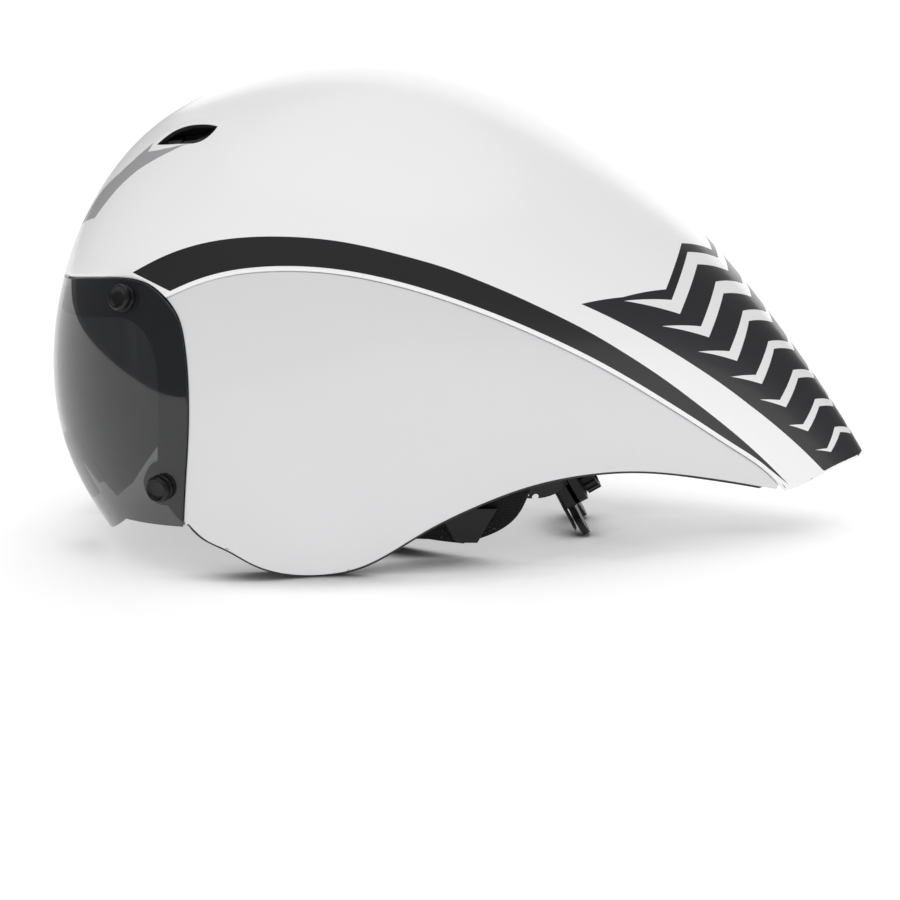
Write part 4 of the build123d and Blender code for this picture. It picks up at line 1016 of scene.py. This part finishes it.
def web_band(name, stations, flip):
    """A flat band through its stations, with rounded selvedges and a woven UV."""
    centres = np.array([centre for centre, _, _ in stations], float)
    widths = np.array([[width] for _, _, width in stations])
    aims = []
    for number, (_, aim, _) in enumerate(stations):
        run = centres[min(number + 1, len(centres) - 1)] - centres[max(number - 1, 0)]
        run /= np.linalg.norm(run)
        aim = np.array(aim, float)
        aim -= run * aim.dot(run)
        aims.append(aim / np.linalg.norm(aim))
    knots = distances(centres)
    rows = np.concatenate([centres, aims, widths], 1)
    count = max(int(knots[-1] / WEB_STEP), 6)
    at = np.linspace(0, knots[-1], count)
    values = along(knots, rows, bends(knots, rows), at)
    path, across, wide = values[:, :3], values[:, 3:6], values[:, 6]
    run = unit(np.gradient(path, axis=0))
    across = unit(across - run * (across * run).sum(1)[:, None])
    up = np.cross(run, across)
    half = STRAP_THICKNESS / 2
    flat_side = [(side, 0.97) for side in np.linspace(0.9, -0.9, 9)]
    upper_half = [(1.0, 0.0), (0.985, 0.55), (0.95, 0.9), *flat_side, (-0.95, 0.9), (-0.985, 0.55)]
    section = np.array(upper_half + [(-side, -rise) for side, rise in upper_half])
    size = len(section)
    vertices = np.concatenate([
        path[i] + across[i] * section[:, :1] * wide[i] / 2 + up[i] * section[:, 1:] * half
        for i in range(count)])
    vertices[:, 1] *= flip
    faces, weave = [], []
    for i in range(count - 1):
        for k in range(size):
            n = (k + 1) % size
            faces.append((i * size + k, i * size + n, (i + 1) * size + n, (i + 1) * size + k))
            for row, spot in ((i, k), (i, n), (i + 1, n), (i + 1, k)):
                weave.append((at[row], section[spot, 0] * wide[row] / 2))
    for ring, backwards in ((0, True), (count - 1, False)):
        order = range(size)[::-1] if backwards else range(size)
        faces.append(tuple(ring * size + k for k in order))
        weave += [(at[ring], section[k, 0] * wide[ring] / 2) for k in order]
    mesh = bpy.data.meshes.new(name)
    mesh.from_pydata(vertices.tolist(), [], faces)
    layer = mesh.uv_layers.new(name="weave")
    layer.data.foreach_set("uv", np.array(weave).ravel())
    mesh.polygons.foreach_set("use_smooth", [True] * (len(faces) - 2) + [False] * 2)
    shape = bmesh.new()
    shape.from_mesh(mesh)
    band_faces = len(shape.faces)
    lines = [line * (1, flip, 1) for line in box_stitch(at, path, across, up, wide)]
    shape.from_mesh(stitches(lines))
    shape.faces.ensure_lookup_table()
    for face in shape.faces[band_faces:]:
        face.material_index = 1
        face.smooth = True
    bmesh.ops.recalc_face_normals(shape, faces=shape.faces[:])
    shape.to_mesh(mesh)
    shape.free()
    return mesh


def chin_rows(end_y, end_z):
    """Stations of a chin strap on the left, from the divider to the buckle."""
    x, meet_y, z = DIVIDER
    rows = [((x, meet_y + 2 * STRAP_FOLD, z), (0, 0, 1), STRAP_NARROW)]
    for x_share, y_share, walls, rise, aim in chin_strap_shares:
        height = end_z + rise * (z - end_z) + walls * STRAP_THICKNESS
        rows.append(((x_share * LENGTH, y_share * WIDTH, height), aim, STRAP_NARROW))
    rows.append(((BUCKLE_X, end_y - STRAP_WIDTH / 2, end_z), (-1, 0, 0), STRAP_NARROW))
    rows.append(((BUCKLE_X, end_y, end_z), (-1, 0, 0), STRAP_NARROW))
    return rows


front_rows = band_rows(front_strap_shares) + [(DIVIDER, (0, 0, 1), STRAP_NARROW)]
rear_rows = band_rows(rear_strap_shares)
rear_rows.append(((DIVIDER[0], DIVIDER[1] + STRAP_FOLD, DIVIDER[2]), (0.8, 0, -0.8), STRAP_NARROW))
left_chin_rows = chin_rows(SOCKET_Y, SOCKET_Z)
right_chin_rows = chin_rows(TONGUE_Y, TONGUE_Z)
for side_name, flip, chin in (("left", 1, left_chin_rows), ("right", -1, right_chin_rows)):
    for part, rows in (("front_strap", front_rows), ("rear_strap", rear_rows), ("chin_strap", chin)):
        name = f"{side_name}_{part}"
        mesh = web_band(name + "_web", rows, flip)
        if name == "right_chin_strap":
            band = bpy.data.objects.new(name + "_web", mesh)
            bpy.context.scene.collection.objects.link(band)
            mesh.materials.append(webbing)
            mesh.materials.append(thread)
            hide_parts(name)
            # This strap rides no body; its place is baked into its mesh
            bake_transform(band)
        else:
            finished(name + "_web", mesh, [webbing, thread], "helmet", "webbing", name)

# Fit system
# Cradle, arms, dial and pins are injection moulded in springy black plastic. The pins hold the
# arms in the liner at the temples, and the dial's pinion draws their racks together.
fit_plastic = moulded_plastic("fit_plastic", (0.014, 0.014, 0.015), (0.009, 0.009, 0.010), 0.42)
dress(fit_plastic, "cradle", "left_arm", "right_arm", "left_temple_pin", "right_temple_pin", "pinion")
dial_plastic = moulded_plastic("dial_plastic", (0.016, 0.016, 0.018), (0.011, 0.011, 0.012), 0.5, depth=0.25)
dress(dial_plastic, "dial")

# Strap fittings
# Studs, dividers and the side-release buckle, moulded in acetal. The studs are set in the
# liner, and the webbing is threaded through the rest.
acetal = moulded_plastic("acetal", (0.013, 0.013, 0.014), (0.009, 0.009, 0.010), 0.36, depth=0.1)
dress(acetal, "strap_studs", "left_divider", "right_divider", "buckle_socket", "buckle_tongue")

# Floor, light and camera
# A plain white floor in a white surround, under three broad soft lamps: above, in front of and
# behind the helmet. The floor glows for the camera, less so close under the part: that dip is a painted
# shadow, on top of the lamps' real one.
FLOOR_SEEN, FLOOR_UNSEEN, FLOOR_BOUNCE = 0.62, 0.80, 0.46
GLOW_LEVEL, PAINTED_SHADOW_REACH = 0.52, 0.05
PAINTED_SHADOW_FULL_AT, PAINTED_SHADOW_GONE_AT = 0.40, 0.70
SURROUND_LIGHT = 0.50
MIRRORED_LIGHT = 0.15
floor_mesh = bpy.data.meshes.new("floor")
floor_mesh.from_pydata([(-6, -6, 0), (6, -6, 0), (6, 12, 0), (-6, 12, 0)], [], [(0, 1, 2, 3)])
floor = bpy.data.objects.new("floor", floor_mesh)
bpy.context.scene.collection.objects.link(floor)
paper = bpy.data.materials.new("floor_paper")
paper.use_nodes = True
paper.node_tree.nodes.clear()
add = node_adder(paper.node_tree)
seen = add("BsdfDiffuse", Color=(FLOOR_SEEN, FLOOR_SEEN, FLOOR_SEEN, 1))
# Painted shadow: ambient occlusion dims the floor's glow close under the helmet, so the floor there is darker
# than the lamps alone make it.
near = add("AmbientOcclusion", Distance=PAINTED_SHADOW_REACH)
glow_with_painted_shadow = add("MapRange", Value=near.outputs["AO"], From_Min=PAINTED_SHADOW_FULL_AT, From_Max=PAINTED_SHADOW_GONE_AT,
                 To_Max=GLOW_LEVEL)
glow = add("Emission", Strength=glow_with_painted_shadow.outputs["Result"])
pale = add("AddShader", i0=seen.outputs[0], i1=glow.outputs[0])
unseen = add("BsdfDiffuse", Color=(FLOOR_UNSEEN, FLOOR_UNSEEN, FLOOR_UNSEEN, 1))
bounce = add("Emission", Strength=FLOOR_BOUNCE)
lifted = add("AddShader", i0=unseen.outputs[0], i1=bounce.outputs[0])
rays = add("LightPath").outputs
direct = add("Math", {"operation": "MAXIMUM"}, i0=rays["Is Camera Ray"], i1=rays["Is Glossy Ray"])
in_view = add("Math", {"operation": "MAXIMUM"}, i0=direct.outputs[0], i1=rays["Is Transmission Ray"])
mix = add("MixShader", i0=in_view.outputs[0], i1=lifted.outputs[0], i2=pale.outputs[0])
add("OutputMaterial", Surface=mix.outputs[0])
floor_mesh.materials.append(paper)

world = bpy.data.worlds.new("surround")
bpy.context.scene.world = world
world.use_nodes = True
world.node_tree.nodes.clear()
add = node_adder(world.node_tree)
rays = add("LightPath").outputs
in_view = add("Math", {"operation": "MAXIMUM"}, i0=rays["Is Camera Ray"], i1=rays["Is Transmission Ray"])
level = add("MapRange", Value=rays["Is Glossy Ray"], To_Min=SURROUND_LIGHT, To_Max=MIRRORED_LIGHT)
shown = add("Mix", Factor=in_view.outputs[0], A=level.outputs["Result"], B=1.0)
back = add("Background", Strength=shown.outputs["Result"])
add("OutputWorld", Surface=back.outputs[0])

# Each lamp's light on a sheet that faces it, its width in degrees and the way it shines
lamps = {
    "top_lamp": (0.31, 70, (-0.05, 0.15, -1.0)),
    "front_lamp": (0.14, 60, (0.3, 1.0, -0.5)),
    "back_lamp": (0.40, 60, (-0.2, -1.0, -0.5))}
for name, (light, width, way) in lamps.items():
    lamp_data = bpy.data.lights.new(name, "SUN")
    lamp_data.energy = light * math.pi
    lamp_data.angle = math.radians(width)
    lamp = bpy.data.objects.new(name, lamp_data)
    bpy.context.scene.collection.objects.link(lamp)
    lamp.rotation_euler = Vector(way).to_track_quat("-Z", "Y").to_euler()
    lamp.visible_glossy = name != "front_lamp"

FOCAL_LENGTH, FILM_WIDTH = 115.55, 36
EYE, LOOK_AT = (-0.0045, -1.250, 0.335), (-0.0045, 0, 0.035)
camera_data = bpy.data.cameras.new("camera")
camera_data.lens = FOCAL_LENGTH
camera_data.sensor_width = FILM_WIDTH
camera = bpy.data.objects.new("camera", camera_data)
bpy.context.scene.collection.objects.link(camera)
camera.location = EYE
camera.rotation_euler = (Vector(LOOK_AT) - camera.location).to_track_quat("-Z", "Y").to_euler()
bpy.context.scene.camera = camera
bpy.context.scene.view_settings.view_transform = "Standard"
